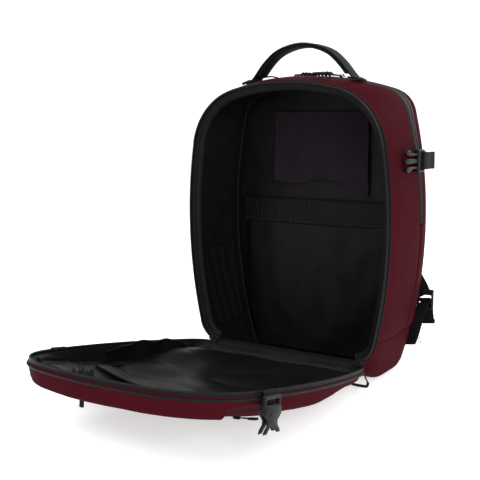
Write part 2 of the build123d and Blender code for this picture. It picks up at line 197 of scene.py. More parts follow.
def ripple(point, scale, seed=0.0):
    """Smooth random value from -1 to 1."""
    return noise.noise(Vector(point) * scale + Vector((seed, seed * 1.7, -seed)))


def step(low, high, value):
    """Smooth step from 0 to 1."""
    t = min(max((value - low) / (high - low), 0.0), 1.0)
    return t * t * (3 - 2 * t)


def crease(distance, width):
    """Bell curve for grooves and folds."""
    return exp(-(distance / width) ** 2)


# ---- Mesh helpers ---------------------------------------------------------
def new_object(name, mesh, material):
    """Object for a mesh, with its material and smooth faces."""
    obj = bpy.data.objects.new(name, mesh)
    bpy.context.scene.collection.objects.link(obj)
    mesh.materials.append(material)
    for polygon in mesh.polygons:
        polygon.use_smooth = True
    return obj


def grid(name, columns, rows, place, material, loop=False):
    """Sheet of quads from place(u, v), u and v from 0 to 1."""
    vertices, faces = [], []
    across = columns if loop else columns + 1
    for j in range(rows + 1):
        for i in range(across):
            vertices.append(place(i / columns, j / rows))
    for j in range(rows):
        for i in range(columns):
            a, b = j * across + i, j * across + (i + 1) % across
            faces.append((a, b, b + across, a + across))
    mesh = bpy.data.meshes.new(name)
    mesh.from_pydata(vertices, [], faces)
    mesh.update()
    return new_object(name, mesh, material)


def thicken(obj, thickness, offset=-1.0):
    """Give a sheet its cloth thickness."""
    modifier = obj.modifiers.new("thickness", "SOLIDIFY")
    modifier.thickness = thickness
    modifier.offset = offset
    modifier.use_even_offset = False
    return obj


def finalise(obj):
    """Apply all modifiers."""
    bpy.context.view_layer.update()
    graph = bpy.context.evaluated_depsgraph_get()
    mesh = bpy.data.meshes.new_from_object(obj.evaluated_get(graph))
    obj.modifiers.clear()
    obj.data = mesh
    return obj


def soften(obj, width, segments=2, levels=0):
    """Round the edges of a hard piece."""
    modifier = obj.modifiers.new("edges", "BEVEL")
    modifier.width = width
    modifier.segments = segments
    modifier.limit_method = "ANGLE"
    modifier.harden_normals = False
    if levels:
        smooth = obj.modifiers.new("smooth", "SUBSURF")
        smooth.levels = smooth.render_levels = levels
    return finalise(obj)


def solid(name, outline_points, depth, place, material, bevel=0.0006):
    """Flat plate: a 2-D outline pushed to a thickness, put in place by a matrix."""
    bm = bmesh.new()
    front = [bm.verts.new((x, y, depth / 2)) for x, y in outline_points]
    face = bm.faces.new(front)
    pushed = bmesh.ops.extrude_face_region(bm, geom=[face])
    moved = [v for v in pushed["geom"] if isinstance(v, bmesh.types.BMVert)]
    bmesh.ops.translate(bm, verts=moved, vec=(0, 0, -depth))
    bmesh.ops.recalc_face_normals(bm, faces=bm.faces)
    mesh = bpy.data.meshes.new(name)
    bm.to_mesh(mesh)
    bm.free()
    mesh.transform(place)
    obj = new_object(name, mesh, material)
    return soften(obj, bevel) if bevel else obj


def tube(name, points, radius, material, cyclic=False, sides=4, flat=1.0):
    """Round cord along a smooth curve through given points."""
    curve = bpy.data.curves.new(name, "CURVE")
    curve.dimensions = "3D"
    spline = curve.splines.new("NURBS")
    spline.points.add(len(points) - 1)
    for target, point in zip(spline.points, points):
        target.co = (*point, 1.0)
    spline.use_cyclic_u = cyclic
    spline.order_u = 3
    spline.use_endpoint_u = not cyclic
    curve.bevel_depth = radius
    curve.bevel_resolution = sides
    curve.resolution_u = 8
    curve.use_fill_caps = True
    obj = bpy.data.objects.new(name, curve)
    bpy.context.scene.collection.objects.link(obj)
    bpy.context.view_layer.update()
    mesh = bpy.data.meshes.new_from_object(obj.evaluated_get(bpy.context.evaluated_depsgraph_get()))
    bpy.data.objects.remove(obj)
    return new_object(name, mesh, material)


def join(name, objects):
    """Join pieces into one, keeping each one's material."""
    bm = bmesh.new()
    materials = []
    for obj in objects:
        start = len(bm.faces)
        part = obj.data
        part.transform(obj.matrix_world)
        bm.from_mesh(part)
        bm.faces.ensure_lookup_table()
        own = [slot for slot in part.materials]
        for material in own:
            if material not in materials:
                materials.append(material)
        for face in bm.faces[start:]:
            face.material_index = materials.index(own[face.material_index])
    mesh = bpy.data.meshes.new(name)
    bm.to_mesh(mesh)
    bm.free()
    for obj in objects:
        bpy.data.objects.remove(obj)
    joined = bpy.data.objects.new(name, mesh)
    bpy.context.scene.collection.objects.link(joined)
    for material in materials:
        mesh.materials.append(material)
    return joined


def opened(point):
    """Closed front-panel point, swung down to where the panel lies."""
    return HINGE + Matrix.Rotation(SWING, 3, "X") @ (Vector(point) - HINGE)


def finish_piece(obj, body, slot_name, *nodes):
    """Put a piece on its body and hide what it stands for; its finish name is not used."""
    if body:
        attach(obj, body)
    if nodes:
        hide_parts(*nodes)
    return obj


# ---- Materials ------------------------------------------------------------
def shader(name, roughness, sheen=0.0, specular=0.5):
    """New node material with a Principled shader."""
    material = bpy.data.materials.new(name)
    material.use_nodes = True
    nodes = material.node_tree.nodes
    principled = nodes["Principled BSDF"]
    principled.inputs["Roughness"].default_value = roughness
    principled.inputs["Specular IOR Level"].default_value = specular
    if sheen:
        principled.inputs["Sheen Weight"].default_value = sheen
        principled.inputs["Sheen Roughness"].default_value = 0.4
    return material, nodes, material.node_tree.links, principled


def noise_node(nodes, links, coords, scale, detail=4.0, stretch=(1, 1, 1)):
    """Noise texture on object coordinates."""
    mapping = nodes.new("ShaderNodeMapping")
    mapping.inputs["Scale"].default_value = stretch
    links.new(coords, mapping.inputs["Vector"])
    texture = nodes.new("ShaderNodeTexNoise")
    texture.inputs["Scale"].default_value = scale
    texture.inputs["Detail"].default_value = detail
    links.new(mapping.outputs["Vector"], texture.inputs["Vector"])
    return texture.outputs["Fac"]


def wave_node(nodes, links, coords, axis, scale, distort=0.0):
    """Parallel ribs along one axis of the object."""
    texture = nodes.new("ShaderNodeTexWave")
    texture.bands_direction = axis
    texture.inputs["Scale"].default_value = scale
    texture.inputs["Distortion"].default_value = distort
    links.new(coords, texture.inputs["Vector"])
    return texture.outputs["Fac"]


def math_node(nodes, links, kind, a, b):
    """Two-input math node."""
    node = nodes.new("ShaderNodeMath")
    node.operation = kind
    for slot_index, value in enumerate((a, b)):
        if isinstance(value, (int, float)):
            node.inputs[slot_index].default_value = value
        else:
            links.new(value, node.inputs[slot_index])
    return node.outputs[0]


def ramp_node(nodes, links, factor, dark, light, low=0.3, high=0.7):
    """Two-colour ramp."""
    ramp = nodes.new("ShaderNodeValToRGB")
    ramp.color_ramp.elements[0].position = low
    ramp.color_ramp.elements[1].position = high
    ramp.color_ramp.elements[0].color = (*dark, 1)
    ramp.color_ramp.elements[1].color = (*light, 1)
    links.new(factor, ramp.inputs["Fac"])
    return ramp.outputs["Color"]


def add_bump(nodes, links, principled, height, strength, distance):
    """Bump from a height field."""
    bump = nodes.new("ShaderNodeBump")
    bump.inputs["Strength"].default_value = strength
    bump.inputs["Distance"].default_value = distance
    links.new(height, bump.inputs["Height"])
    links.new(bump.outputs["Normal"], principled.inputs["Normal"])


def woven(name, dark, light, roughness, pitch, sheen=0.0, specular=0.5, relief=0.4,
          axes=("X", "Z"), cloud=9.0, spread=0.1):
    """Cloth: crossed threads, uneven colour and uneven gloss."""
    material, nodes, links, principled = shader(name, roughness, sheen, specular)
    coords = nodes.new("ShaderNodeTexCoord").outputs["Object"]
    threads = None
    for axis in axes:
        ribs = wave_node(nodes, links, coords, axis, 1.0 / pitch / 3.2, 0.6)
        threads = ribs if threads is None else math_node(nodes, links, "MULTIPLY", threads, ribs)
    cloudy = noise_node(nodes, links, coords, cloud)
    grain = noise_node(nodes, links, coords, 900.0, 2.0)
    colour_mix = math_node(nodes, links, "ADD", math_node(nodes, links, "MULTIPLY", cloudy, 0.8),
                           math_node(nodes, links, "MULTIPLY", grain, 0.2))
    links.new(ramp_node(nodes, links, colour_mix, dark, light), principled.inputs["Base Color"])
    gloss = math_node(nodes, links, "MULTIPLY", cloudy, spread)
    gloss = math_node(nodes, links, "ADD", gloss, roughness - spread / 2)
    links.new(gloss, principled.inputs["Roughness"])
    height = math_node(nodes, links, "ADD", threads, math_node(nodes, links, "MULTIPLY", grain, 0.5))
    add_bump(nodes, links, principled, height, relief, pitch * 0.35)
    return material


def moulded(name, dark, light, roughness, metallic=0.0, relief=0.12, scale=700.0):
    """Moulded plastic, rubber or painted metal with a fine grain."""
    material, nodes, links, principled = shader(name, roughness)
    principled.inputs["Metallic"].default_value = metallic
    principled.inputs["Specular IOR Level"].default_value = 0.16
    coords = nodes.new("ShaderNodeTexCoord").outputs["Object"]
    cloudy = noise_node(nodes, links, coords, 60.0)
    grain = noise_node(nodes, links, coords, scale, 3.0)
    links.new(ramp_node(nodes, links, cloudy, dark, light), principled.inputs["Base Color"])
    gloss = math_node(nodes, links, "MULTIPLY", grain, 0.16)
    links.new(math_node(nodes, links, "ADD", gloss, roughness - 0.08), principled.inputs["Roughness"])
    add_bump(nodes, links, principled, grain, relief, 0.0004)
    return material


def knitted_mesh(name, dark, light):
    """Open knitted mesh over foam: rows of small round holes."""
    material, nodes, links, principled = shader(name, 0.85, 0.0, 0.08)
    coords = nodes.new("ShaderNodeTexCoord").outputs["Object"]
    cells = nodes.new("ShaderNodeTexVoronoi")
    cells.inputs["Scale"].default_value = 420.0
    cells.inputs["Randomness"].default_value = 0.15
    links.new(coords, cells.inputs["Vector"])
    holes = cells.outputs["Distance"]
    cloudy = noise_node(nodes, links, coords, 20.0)
    shade = math_node(nodes, links, "MULTIPLY", holes, cloudy)
    links.new(ramp_node(nodes, links, shade, dark, light, 0.08, 0.4), principled.inputs["Base Color"])
    add_bump(nodes, links, principled, holes, 0.7, 0.0012)
    return material


BURGUNDY = woven("coated_twill", (0.036, 0.0033, 0.0062), (0.044, 0.0043, 0.0080), 0.56, 0.0007,
                 sheen=0.0, specular=0.006, relief=0.18, axes=("X", "Y", "Z"), spread=0.12)
LINING = woven("lining_nylon", (0.0042, 0.0038, 0.0041), (0.0072, 0.0066, 0.0070), 0.40, 0.0006,
               sheen=0.0, specular=0.09, relief=0.22, spread=0.14)
FLAP_CLOTH = woven("flap_suede", (0.0110, 0.0078, 0.0112), (0.0165, 0.0118, 0.0165), 0.85, 0.0008,
                   sheen=0.0, specular=0.05, relief=0.4)
WEBBING = woven("ribbed_webbing", (0.0035, 0.0034, 0.0036), (0.0065, 0.0062, 0.0066), 0.62, 0.0016,
                specular=0.09, relief=0.9, axes=("X",))
WEBBING_Z = woven("ribbed_webbing_upright", (0.0035, 0.0034, 0.0036), (0.0065, 0.0062, 0.0066),
                  0.62, 0.0016, specular=0.09, relief=0.9, axes=("Z",))
ZIP_TAPE = woven("zip_tape", (0.0036, 0.0035, 0.0038), (0.0062, 0.0060, 0.0064), 0.50, 0.0009,
                 specular=0.09, relief=0.5, axes=("X", "Z"))
CORD = woven("braided_cord", (0.0040, 0.0039, 0.0041), (0.0085, 0.0082, 0.0086), 0.6, 0.0009,
             specular=0.12, relief=0.9, axes=("X", "Y", "Z"))
THREAD = woven("black_thread", (0.006, 0.006, 0.006), (0.012, 0.012, 0.012), 0.55, 0.0005)
PLASTIC = moulded("moulded_black", (0.0040, 0.0040, 0.0042), (0.0065, 0.0065, 0.0068), 0.40)
RUBBER = moulded("soft_rubber", (0.0042, 0.0042, 0.0044), (0.0070, 0.0070, 0.0072), 0.60, relief=0.3)
METAL = moulded("black_slider_metal", (0.016, 0.016, 0.017), (0.032, 0.032, 0.034), 0.34, 0.6, 0.06)
CHAIN = moulded("zip_coil_nylon", (0.0045, 0.0045, 0.0048), (0.0085, 0.0085, 0.0088), 0.42)
AIR_MESH = knitted_mesh("knitted_air_mesh", (0.0028, 0.0028, 0.0030), (0.0105, 0.0103, 0.0108))


# ---- Outer body panels ----------------------------------------------------
def band_edge(z, ends):
    """Depth of the laptop zip band's edge at a height."""
    share = min(max((z - BAND_END_Z) / (0.450 - BAND_END_Z), 0.0), 1.0)
    return ends[1] + (ends[0] - ends[1]) * share


def gusset_depths(z):
    """Depth where the front gusset ends, at a height."""
    if z >= BAND_END_Z:
        return band_edge(z, BAND_FRONT)
    share = (BAND_END_Z - z) / BAND_END_Z
    return BAND_FRONT[1] - 0.005 * share


def puffed(s, depth, near, far, amount, seed):
    """Surface point with slack, tucked in at the seams at depths near and far."""
    x, z, nx, nz = outline(s, depth)
    base = Vector((x, RIM_Y + depth, z))
    gap = min(depth - near, far - depth)
    tuck = 0.0016 * crease(gap, 0.0028)
    slack = amount * ripple(base, 11.0, seed) + 0.3 * amount * ripple(base, 31.0, seed + 4)
    slack *= step(0.0, 0.02, gap)
    grounded = step(0.0, 0.03, z)
    push = slack * grounded - tuck
    point = base + Vector((nx, 0.0, nz)) * push
    point.z = max(point.z, GROUND)
    return point


def make_gussets():
    """Burgundy side and top panels, and the bottom panel with its seam."""
    def front(u, v):
        depth_guess = 0.05
        low = edge_at_height(SEAM_Z, depth_guess)
        s = low + (8.0 - 2 * low) * u
        far = gusset_depths(outline(s, depth_guess)[1])
        depth = far * v
        low = edge_at_height(SEAM_Z + 0.0004, depth)
        s = low + (8.0 - 2 * low) * u
        side_gap = min(u, 1.0 - u) * 1.1
        point = puffed(s, depth, -0.01, far, 0.0012, 1.0)
        _, _, nx, nz = outline(s, depth)
        return point - Vector((nx, 0, nz)) * 0.0014 * crease(side_gap, 0.003)

    def rear(u, v):
        low = edge_at_height(SEAM_Z + 0.0004, 0.12)
        s = low + (8.0 - 2 * low) * u
        z = outline(s, 0.12)[1]
        near = band_edge(z, BAND_REAR) if z >= BAND_END_Z else gusset_depths(z)
        depth = near + (0.1395 - near) * v
        side_gap = min(u, 1.0 - u) * 1.1
        point = puffed(s, depth, near, 0.1405, 0.0009, 2.0)
        _, _, nx, nz = outline(s, depth)
        return point - Vector((nx, 0, nz)) * 0.0014 * crease(side_gap, 0.003)

    def bottom(u, v):
        depth = 0.1395 * v
        low = edge_at_height(SEAM_Z, depth)
        s = 9.0 + low - (low * 2 + 1.0) * u
        point = puffed(s % 9.0, depth, -0.01, 0.1405, 0.0010, 3.0)
        side_gap = min(u, 1.0 - u) * 0.45
        _, _, nx, nz = outline(s % 9.0, depth)
        return point - Vector((nx, 0, nz)) * 0.0016 * crease(side_gap, 0.003)

    pieces = (("front_gusset", front, 420, 34, "main_gusset"),
              ("rear_side_gusset", rear, 420, 12, "rear_gusset"),
              ("base_panel", bottom, 200, 40, "bottom_panel"))
    for name, place, columns, rows, node in pieces:
        obj = grid(name, columns, rows, place, BURGUNDY)
        thicken(obj, 0.0014)
        finish_piece(finalise(obj), "bag", "coated_fabric", node)


def sweep(name, count, frame_at, section, material, closed=False):
    """Sweep a small (across, out) section along a path of (point, across, out)."""
    def place(u, v):
        point, across, out = frame_at(u)
        a, b = section[int(round(v * (len(section) - 1)))]
        return point + across * a + out * b
    return grid(name, count, len(section) - 1, place, material, loop=closed)


def rim_frame(u, depth, start=0.18, door=False):
    """Point on the rim outline with its zip-width and outward directions."""
    s = start + (LAST_EDGE - 2 * start) * u
    x, z, nx, nz = outline(s, 0.0)
    point = Vector((x, RIM_Y + depth, z))
    across, out = Vector((0, 1, 0)), Vector((nx, 0, nz))
    if door:
        turn = Matrix.Rotation(SWING, 3, "X")
        return opened(point), turn @ across, turn @ out
    return point, across, out


def zip_teeth(name, count, frame_at, size, material):
    """Row of moulded coil loops along a path of (point, along the tape, out)."""
    bm = bmesh.new()
    length, width, height = size
    shape = ((-0.5, -0.5, 0), (0.5, -0.5, 0), (0.5, 0.5, 0), (-0.5, 0.5, 0),
             (-0.32, -0.4, 1), (0.32, -0.4, 1), (0.32, 0.4, 1), (-0.32, 0.4, 1))
    sides = ((0, 1, 5, 4), (1, 2, 6, 5), (2, 3, 7, 6), (3, 0, 4, 7), (4, 5, 6, 7), (3, 2, 1, 0))
    for i in range(count):
        u = (i + 0.5) / count
        point, across, out = frame_at(u)
        run = across.cross(out)
        corners = [bm.verts.new(point + run * (a * length) + across * (b * width) + out * (c * height))
                   for a, b, c in shape]
        for side in sides:
            bm.faces.new([corners[i] for i in side])
    bmesh.ops.recalc_face_normals(bm, faces=bm.faces)
    mesh = bpy.data.meshes.new(name)
    bm.to_mesh(mesh)
    bm.free()
    return new_object(name, mesh, material)


def make_main_zip(door):
    """One half of the main zip: tape folded over the rim, coil and binding."""
    end_s = 0.16
    side = -1.0 if door else 1.0
    rim = -2 * TAPE if door else 0.0
    middle = -TAPE + side * 0.0004
    def at(depth):
        return lambda u: rim_frame(u, depth, end_s, door)
    tape_profile = [(rim + side * 0.0035, -0.0002), (rim + side * 0.0012, 0.0006), (rim, 0.0009),
                    (rim - side * 0.003, 0.0002), (middle + side * 0.001, -0.0002), (middle, -0.0008),
                    (middle + side * 0.001, -0.0014), (rim - side * 0.003, -0.0018),
                    (rim, -0.0026), (rim + side * 0.0016, -0.0058), (rim + side * 0.0012, -0.0066),
                    (rim + side * 0.0020, -0.0074), (rim + side * 0.0034, -0.0118),
                    (rim + side * 0.008, -0.0126)]
    if door:
        tape_profile = tape_profile[:9] + [(rim + side * 0.006, -0.0044)]
    label = "door" if door else "rim"
    tape = sweep(f"{label}_zip_tape", 420, at(0.0), tape_profile, ZIP_TAPE)
    coil = zip_teeth(f"{label}_zip_coil", 760,
                     lambda u: rim_frame(u, middle + side * 0.0016, end_s, door),
                     (0.0010, 0.0030, -0.0022), CHAIN)
    piping = sweep(f"{label}_binding", 420, at(rim + side * 0.0008),
                   [(0.0011 * cos(a * pi / 4), 0.0012 + 0.0011 * sin(a * pi / 4)) for a in range(9)],
                   ZIP_TAPE)
    bodies = ("front_panel", "door_zip") if door else ("bag", "body_zip")
    joined = join(f"{label}_zip", [tape, coil, piping])
    finish_piece(joined, bodies[0], "zip_tape", bodies[1])


def make_hinge_cloth():
    """Fabric hinge between the bag's floor and the front panel, one soft strip."""
    radius = 0.0072
    def place(u, v):
        x = (2 * u - 1) * (HINGE_HALF + 0.004)
        turn = SWING * v
        ripple_out = 0.0007 * ripple((x, v, 0), 60.0, 3.0)
        centre = HINGE + Vector((0, 0, 0.0005))
        arm = Vector((0, radius + ripple_out, 0.0012))
        return centre + Vector((x, 0, 0)) + Matrix.Rotation(v * (SWING - pi), 3, "X") @ arm
    def strip(u, v):
        x = (2 * u - 1) * (HINGE_HALF + 0.004)
        start = Vector((x, RIM_Y + 0.004, HINGE.z + 0.0012))
        end = opened(Vector((x, HINGE.y - TAPE - 0.004, HINGE.z + 0.0012)))
        middle = HINGE + Vector((x, -0.0005, -0.0028 + 0.0006 * ripple((x, 0, 0), 70.0, 2.0)))
        return start * (1 - v)**2 + middle * 2 * v * (1 - v) + end * v**2
    obj = grid("hinge_cloth", 60, 10, strip, ZIP_TAPE)
    thicken(obj, 0.0012, 0.0)
    finalise(obj)
    finish_piece(obj, None, "zip_tape", "hinge_strip_body", "hinge_strip_door")
    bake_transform(obj)


# ---- Inside the bag -------------------------------------------------------
def make_lining():
    """Lining of the bag's walls, with soft folds that run front to back and down."""
    inset = WALL + 0.0012
    def place(u, v):
        s = 9.0 * u
        depth = 0.0045 + (DIVIDER - 0.006) * v
        x, z, nx, nz = outline(s, depth, inset)
        point = Vector((x, RIM_Y + depth, z))
        free = step(0.0, 0.02, depth) * step(0.0, 0.02, DIVIDER - depth)
        folds = 0.0034 * abs(ripple((x * 3, depth * 14, z * 9), 1.6, 5.0))
        folds += 0.0016 * abs(ripple((x * 6, depth * 18, z * 22), 2.0, 6.0))
        return point - Vector((nx, 0, nz)) * (folds * free + 0.0006)
    obj = grid("wall_lining", 460, 44, place, LINING, loop=True)
    thicken(obj, 0.0006, 1.0)
    finish_piece(finalise(obj), "bag", "lining_fabric", "lining_gusset")
    ribs = []
    for depth, radius in ((0.0050, 0.0016), (DIVIDER - 0.0035, 0.0022)):
        def along(u, d=depth):
            x, z, nx, nz = outline(9.0 * u, d, inset)
            return Vector((x, RIM_Y + d, z)), Vector((0, 1, 0)), Vector((nx, 0, nz))
        wobble = [(radius * cos(a * pi / 4), -radius * 0.8 + radius * sin(a * pi / 4)) for a in range(9)]
        ribs.append(sweep("binding", 700, along, wobble, ZIP_TAPE, closed=True))
    stitches = zip_teeth("binding_stitches", 300, lambda u: (
        on_body(9.0 * u, 0.0072, inset + 0.0009), Vector((0, 1, 0)),
        -Vector((outline(9.0 * u, 0.0072)[2], 0, outline(9.0 * u, 0.0072)[3]))),
        (0.0026, 0.0005, 0.0005), THREAD)
    binding = join("lining_binding", ribs + [stitches])
    finish_piece(binding, "bag", "zip_tape")


def disc(name, rows, columns, depth, inset, lift, material):
    """Panel that fills the outline at a depth, pushed forward by lift(x, z)."""
    centre = Vector((0, 0, 0.225))
    def place(u, v):
        x, z, _, _ = outline(9.0 * u, depth, inset)
        share = max(v, 0.002)
        px = x * share
        pz = centre.z + (z - centre.z) * share
        return Vector((px, RIM_Y + depth - lift(px, pz) * step(0.0, 0.06, 1.0 - v), pz))
    return grid(name, columns, rows, place, material, loop=True)


def make_divider():
    """Back wall of the compartment, with the cloth's slight slack."""
    def slack(x, z):
        return 0.0016 + 0.0014 * ripple((x, 0, z), 9.0, 8.0) + 0.0007 * ripple((x, 0, z), 26.0, 9.0)
    obj = disc("divider_cloth", 60, 260, DIVIDER, WALL + 0.0012, slack, LINING)
    finish_piece(obj, "bag", "lining_fabric", "divider_panel")
    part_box("laptop_sleeve_pad")


def width_at(z, depth, inset):
    """Half-width inside the bag at a height."""
    return side_x(depth, max(z, 0.008)) - inset


def make_slip_pocket():
    """Large gathered pocket across the divider, with its elastic band."""
    low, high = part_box("slip_pocket")
    band_low, band_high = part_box("elastic_band")
    foot = 0.010
    def cloth(u, v):
        z = foot + (high.z - foot) * v
        reach = min(high.x + 0.001, width_at(z, DIVIDER - 0.008, WALL + 0.003))
        x = (2 * u - 1) * reach
        hang = step(0.0, 0.12, v) * (1.0 - 0.35 * v)
        gather = sin(x * 62.0 + 3.0 * ripple((x, 0, z), 9.0, 1.0)) * 0.5 + 0.5
        gather = gather ** 1.6 * (0.55 + 0.45 * ripple((x, 0, 0), 16.0, 12.0))
        drape = 0.0075 * gather * hang * (1.0 - 0.55 * v)
        drape += 0.0022 * ripple((x * 1.5, 0, z), 22.0, 13.0)
        edge = step(0.0, 0.05, min(u, 1 - u))
        return Vector((x, low.y + 0.0008 - drape * edge + 0.004 * (1 - edge), z))
    pocket = thicken(grid("slip_pocket_cloth", 260, 110, cloth, LINING), 0.0007)
    finish_piece(finalise(pocket), "bag", "lining_fabric", "slip_pocket", "pocket_gusset")

    def band(u, v):
        z = band_low.z + (band_high.z - band_low.z) * v
        x = (2 * u - 1) * (band_high.x + 0.0005)
        edge = min(v, 1 - v)
        gather = 0.0003 * sin(x * 700.0 + 8 * ripple((x, 0, z), 30.0, 2.0)) * (0.4 + crease(edge, 0.2))
        bow = 0.0025 * sin(pi * u)
        lip = 0.0010 * crease(edge, 0.05)
        return Vector((x, band_low.y + 0.0006 - gather - bow - lip, z))
    cloth_band = thicken(grid("elastic_band_cloth", 600, 26, band, ZIP_TAPE), 0.0013)
    stitches = []
    for z in (band_low.z + 0.0035, band_high.z - 0.0035):
        def along(u, z=z):
            x = (2 * u - 1) * (band_high.x - 0.002)
            return (Vector((x, band_low.y - 0.0006 - 0.0025 * sin(pi * u), z)),
                    Vector((0, 0, 1)), Vector((0, -1, 0)))
        stitches.append(zip_teeth("stitch", 110, along, (0.0019, 0.0005, 0.0005), THREAD))
    joined = join("elastic_band_piece", [finalise(cloth_band)] + stitches)
    finish_piece(joined, "bag", "lining_fabric", "elastic_band")


def make_hanging_flap():
    """Loose matte flap sewn along its top edge, its hem slightly wavy."""
    low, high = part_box("hanging_flap")
    def place(u, v):
        x = low.x + (high.x - low.x) * u
        free = 1.0 - v
        wave = (0.0060 * sin(x * 46.0 + 0.8) - 0.09 * (x - low.x) * step(0.4, 1.0, u)) * free
        z = low.z + (high.z - low.z) * v + wave + 0.002 * ripple((x, 0, 0), 40.0, 4.0) * free
        out = 0.0035 + 0.0050 * free * (0.5 + 0.5 * sin(x * 58.0 + 4.0 * v))
        out += 0.0030 * ripple((x * 1.3, 0, z * 1.6), 26.0, 7.0) * step(0.0, 0.15, free)
        return Vector((x, high.y - 0.002 - out, z))
    obj = thicken(grid("hanging_flap_cloth", 110, 70, place, FLAP_CLOTH), 0.0009)
    finalise(obj)
    finish_piece(obj, "bag", "lining_fabric", "hanging_flap")


def make_wall_pocket():
    """Flat pocket on the left wall, with a bound front edge and hem."""
    low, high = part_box("inner_side_pocket")
    near, far = low.y - RIM_Y, high.y - RIM_Y
    def place(u, v):
        depth = near + (far - near) * u
        z = low.z + (high.z - low.z) * v
        x, z2, nx, nz = outline(8.0 - edge_at_height(z, depth), depth, WALL + 0.0048)
        out = 0.0012 * ripple((0, depth, z), 25.0, 6.0) + 0.0008 * sin(depth * 300 + z * 40)
        return Vector((x - nx * out, RIM_Y + depth, z2))
    cloth = thicken(grid("wall_pocket_cloth", 50, 70, place, LINING), 0.0010, 0.0)
    edges = []
    for name, path in (("front", lambda t: place(0.0, t)), ("back", lambda t: place(1.0, t)),
                       ("top", lambda t: place(t, 1.0))):
        points = [path(i / 8) + Vector((0.0006, 0, 0)) for i in range(9)]
        edges.append(tube(f"edge_{name}", points, 0.0012, ZIP_TAPE))
    joined = join("wall_pocket", [finalise(cloth)] + edges)
    finish_piece(joined, "bag", "lining_fabric", "inner_side_pocket")


# ---- Front panel ----------------------------------------------------------
def dome_depth(x, v):
    """Depth of the front panel's bulge in front of the zip's middle."""
    return DOOR_DEPTH - DOME_R + sqrt(max(DOME_R**2 - x * x - (v - DOME_V)**2, 0.0))


def soft_max(a, b, blend):
    """Larger of two values, blended where they meet."""
    mix = min(max(0.5 + 0.5 * (a - b) / blend, 0.0), 1.0)
    return b + (a - b) * mix + blend * mix * (1 - mix) / 2


def yoke_seam(x):
    """Height of the seam across the front panel, above the hinge."""
    return YOKE_V + 0.004 * cos(x * 18.0) + 0.026 * (abs(x) / 0.16)**4


def least_depth(x, height, inset):
    """Least depth of the front panel: the yoke stands out like a box."""
    boxed = step(-0.004, 0.007, height - inset - yoke_seam(x))
    return DOOR_RIM + (YOKE_RIM - DOOR_RIM) * boxed


def panel_point(s, row, inset, rise):
    """Front-panel surface, closed: row 0 at the rim, 1 at the panel's middle."""
    top_depth = 0.0056
    x0, z0, nx, nz = outline(s, 0.0, inset)
    round_r = 0.0085
    xi, zi, _, _ = outline(s, 0.0, inset + DOOR_TAPER * 0.6 + round_r)
    least = least_depth(xi, zi - HINGE.z, inset)
    wall_depth = soft_max(dome_depth(xi, zi - HINGE.z) - inset, least - inset, 0.008)
    if row < 0.16:
        share = row / 0.16
        depth = top_depth + (wall_depth - round_r - top_depth) * share
        lean = inset + DOOR_TAPER * 0.6 * share - (0.0012 if inset == 0.0 else 0.0)
        x, z, _, _ = outline(s, 0.0, lean)
    elif row < 0.30:
        angle = (row - 0.16) / 0.14 * pi / 2
        depth = wall_depth - round_r + round_r * sin(angle)
        x, z, _, _ = outline(s, 0.0, inset + DOOR_TAPER * 0.6 + round_r * (1 - cos(angle)))
    else:
        share = (row - 0.30) / 0.70
        keep = 1.0 - share * 0.997
        centre_z = HINGE.z + DOME_V
        x, z = xi * keep, centre_z + (zi - centre_z) * keep
        least = least_depth(x, z - HINGE.z, inset)
        depth = soft_max(dome_depth(x, z - HINGE.z) - inset, least - inset, 0.008)
    return x, z, depth + rise, nx, nz


def zip_dent(x, v):
    """Groove of the two pocket zips across the front panel."""
    dent = 0.0
    for name in ("upper", "lower"):
        low, high = ZIP_LINES[name]
        if low.x - 0.01 < x < high.x + 0.01:
            middle = ZIP_V[name]
            dent += 0.0010 * crease(v - middle, 0.008)
    return dent


ZIP_LINES = {name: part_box(f"pocket_zip_{name}") for name in ("upper", "lower")}
ZIP_V = {"upper": 0.300, "lower": 0.217}


def make_front_shell():
    """Burgundy outer of the front panel, with its yoke seam and soft dents."""
    def place(u, v):
        s = 9.0 * u
        x, z, depth, nx, nz = panel_point(s, v, 0.0, 0.0)
        height = z - HINGE.z
        groove = 0.0018 * crease(height - yoke_seam(x), 0.0022)
        ridge = 0.0007 * crease(height - yoke_seam(x) - 0.0045, 0.0030)
        slack = 0.0016 * ripple((x, z, 0), 12.0, 21.0) + 0.0005 * ripple((x, z, 0), 34.0, 22.0)
        dent = 0.0065 * exp(-((abs(x) - 0.135) / 0.05)**2 - ((height - 0.285) / 0.028)**2)
        side = step(0.10, 0.22, v)
        out = slack * step(0.02, 0.12, v) - groove + ridge - zip_dent(x, height) * side
        normal = Vector((nx * (1 - side), -side, nz * (1 - side))).normalized()
        point = Vector((x, HINGE.y - depth, z)) + normal * out
        point.y += dent * side
        point.x -= (nx * dent * 0.7) * (1 - side) * step(0.0, 0.1, v)
        moved = opened(point)
        moved.z = soft_max(moved.z, GROUND, 0.002)
        return moved
    obj = grid("front_panel_shell", 460, 120, place, BURGUNDY, loop=True)
    obj.data.flip_normals()
    thicken(obj, 0.0014, 1.0)
    finish_piece(finalise(obj), "front_panel", "coated_fabric", "door_main_panel", "door_yoke_panel")


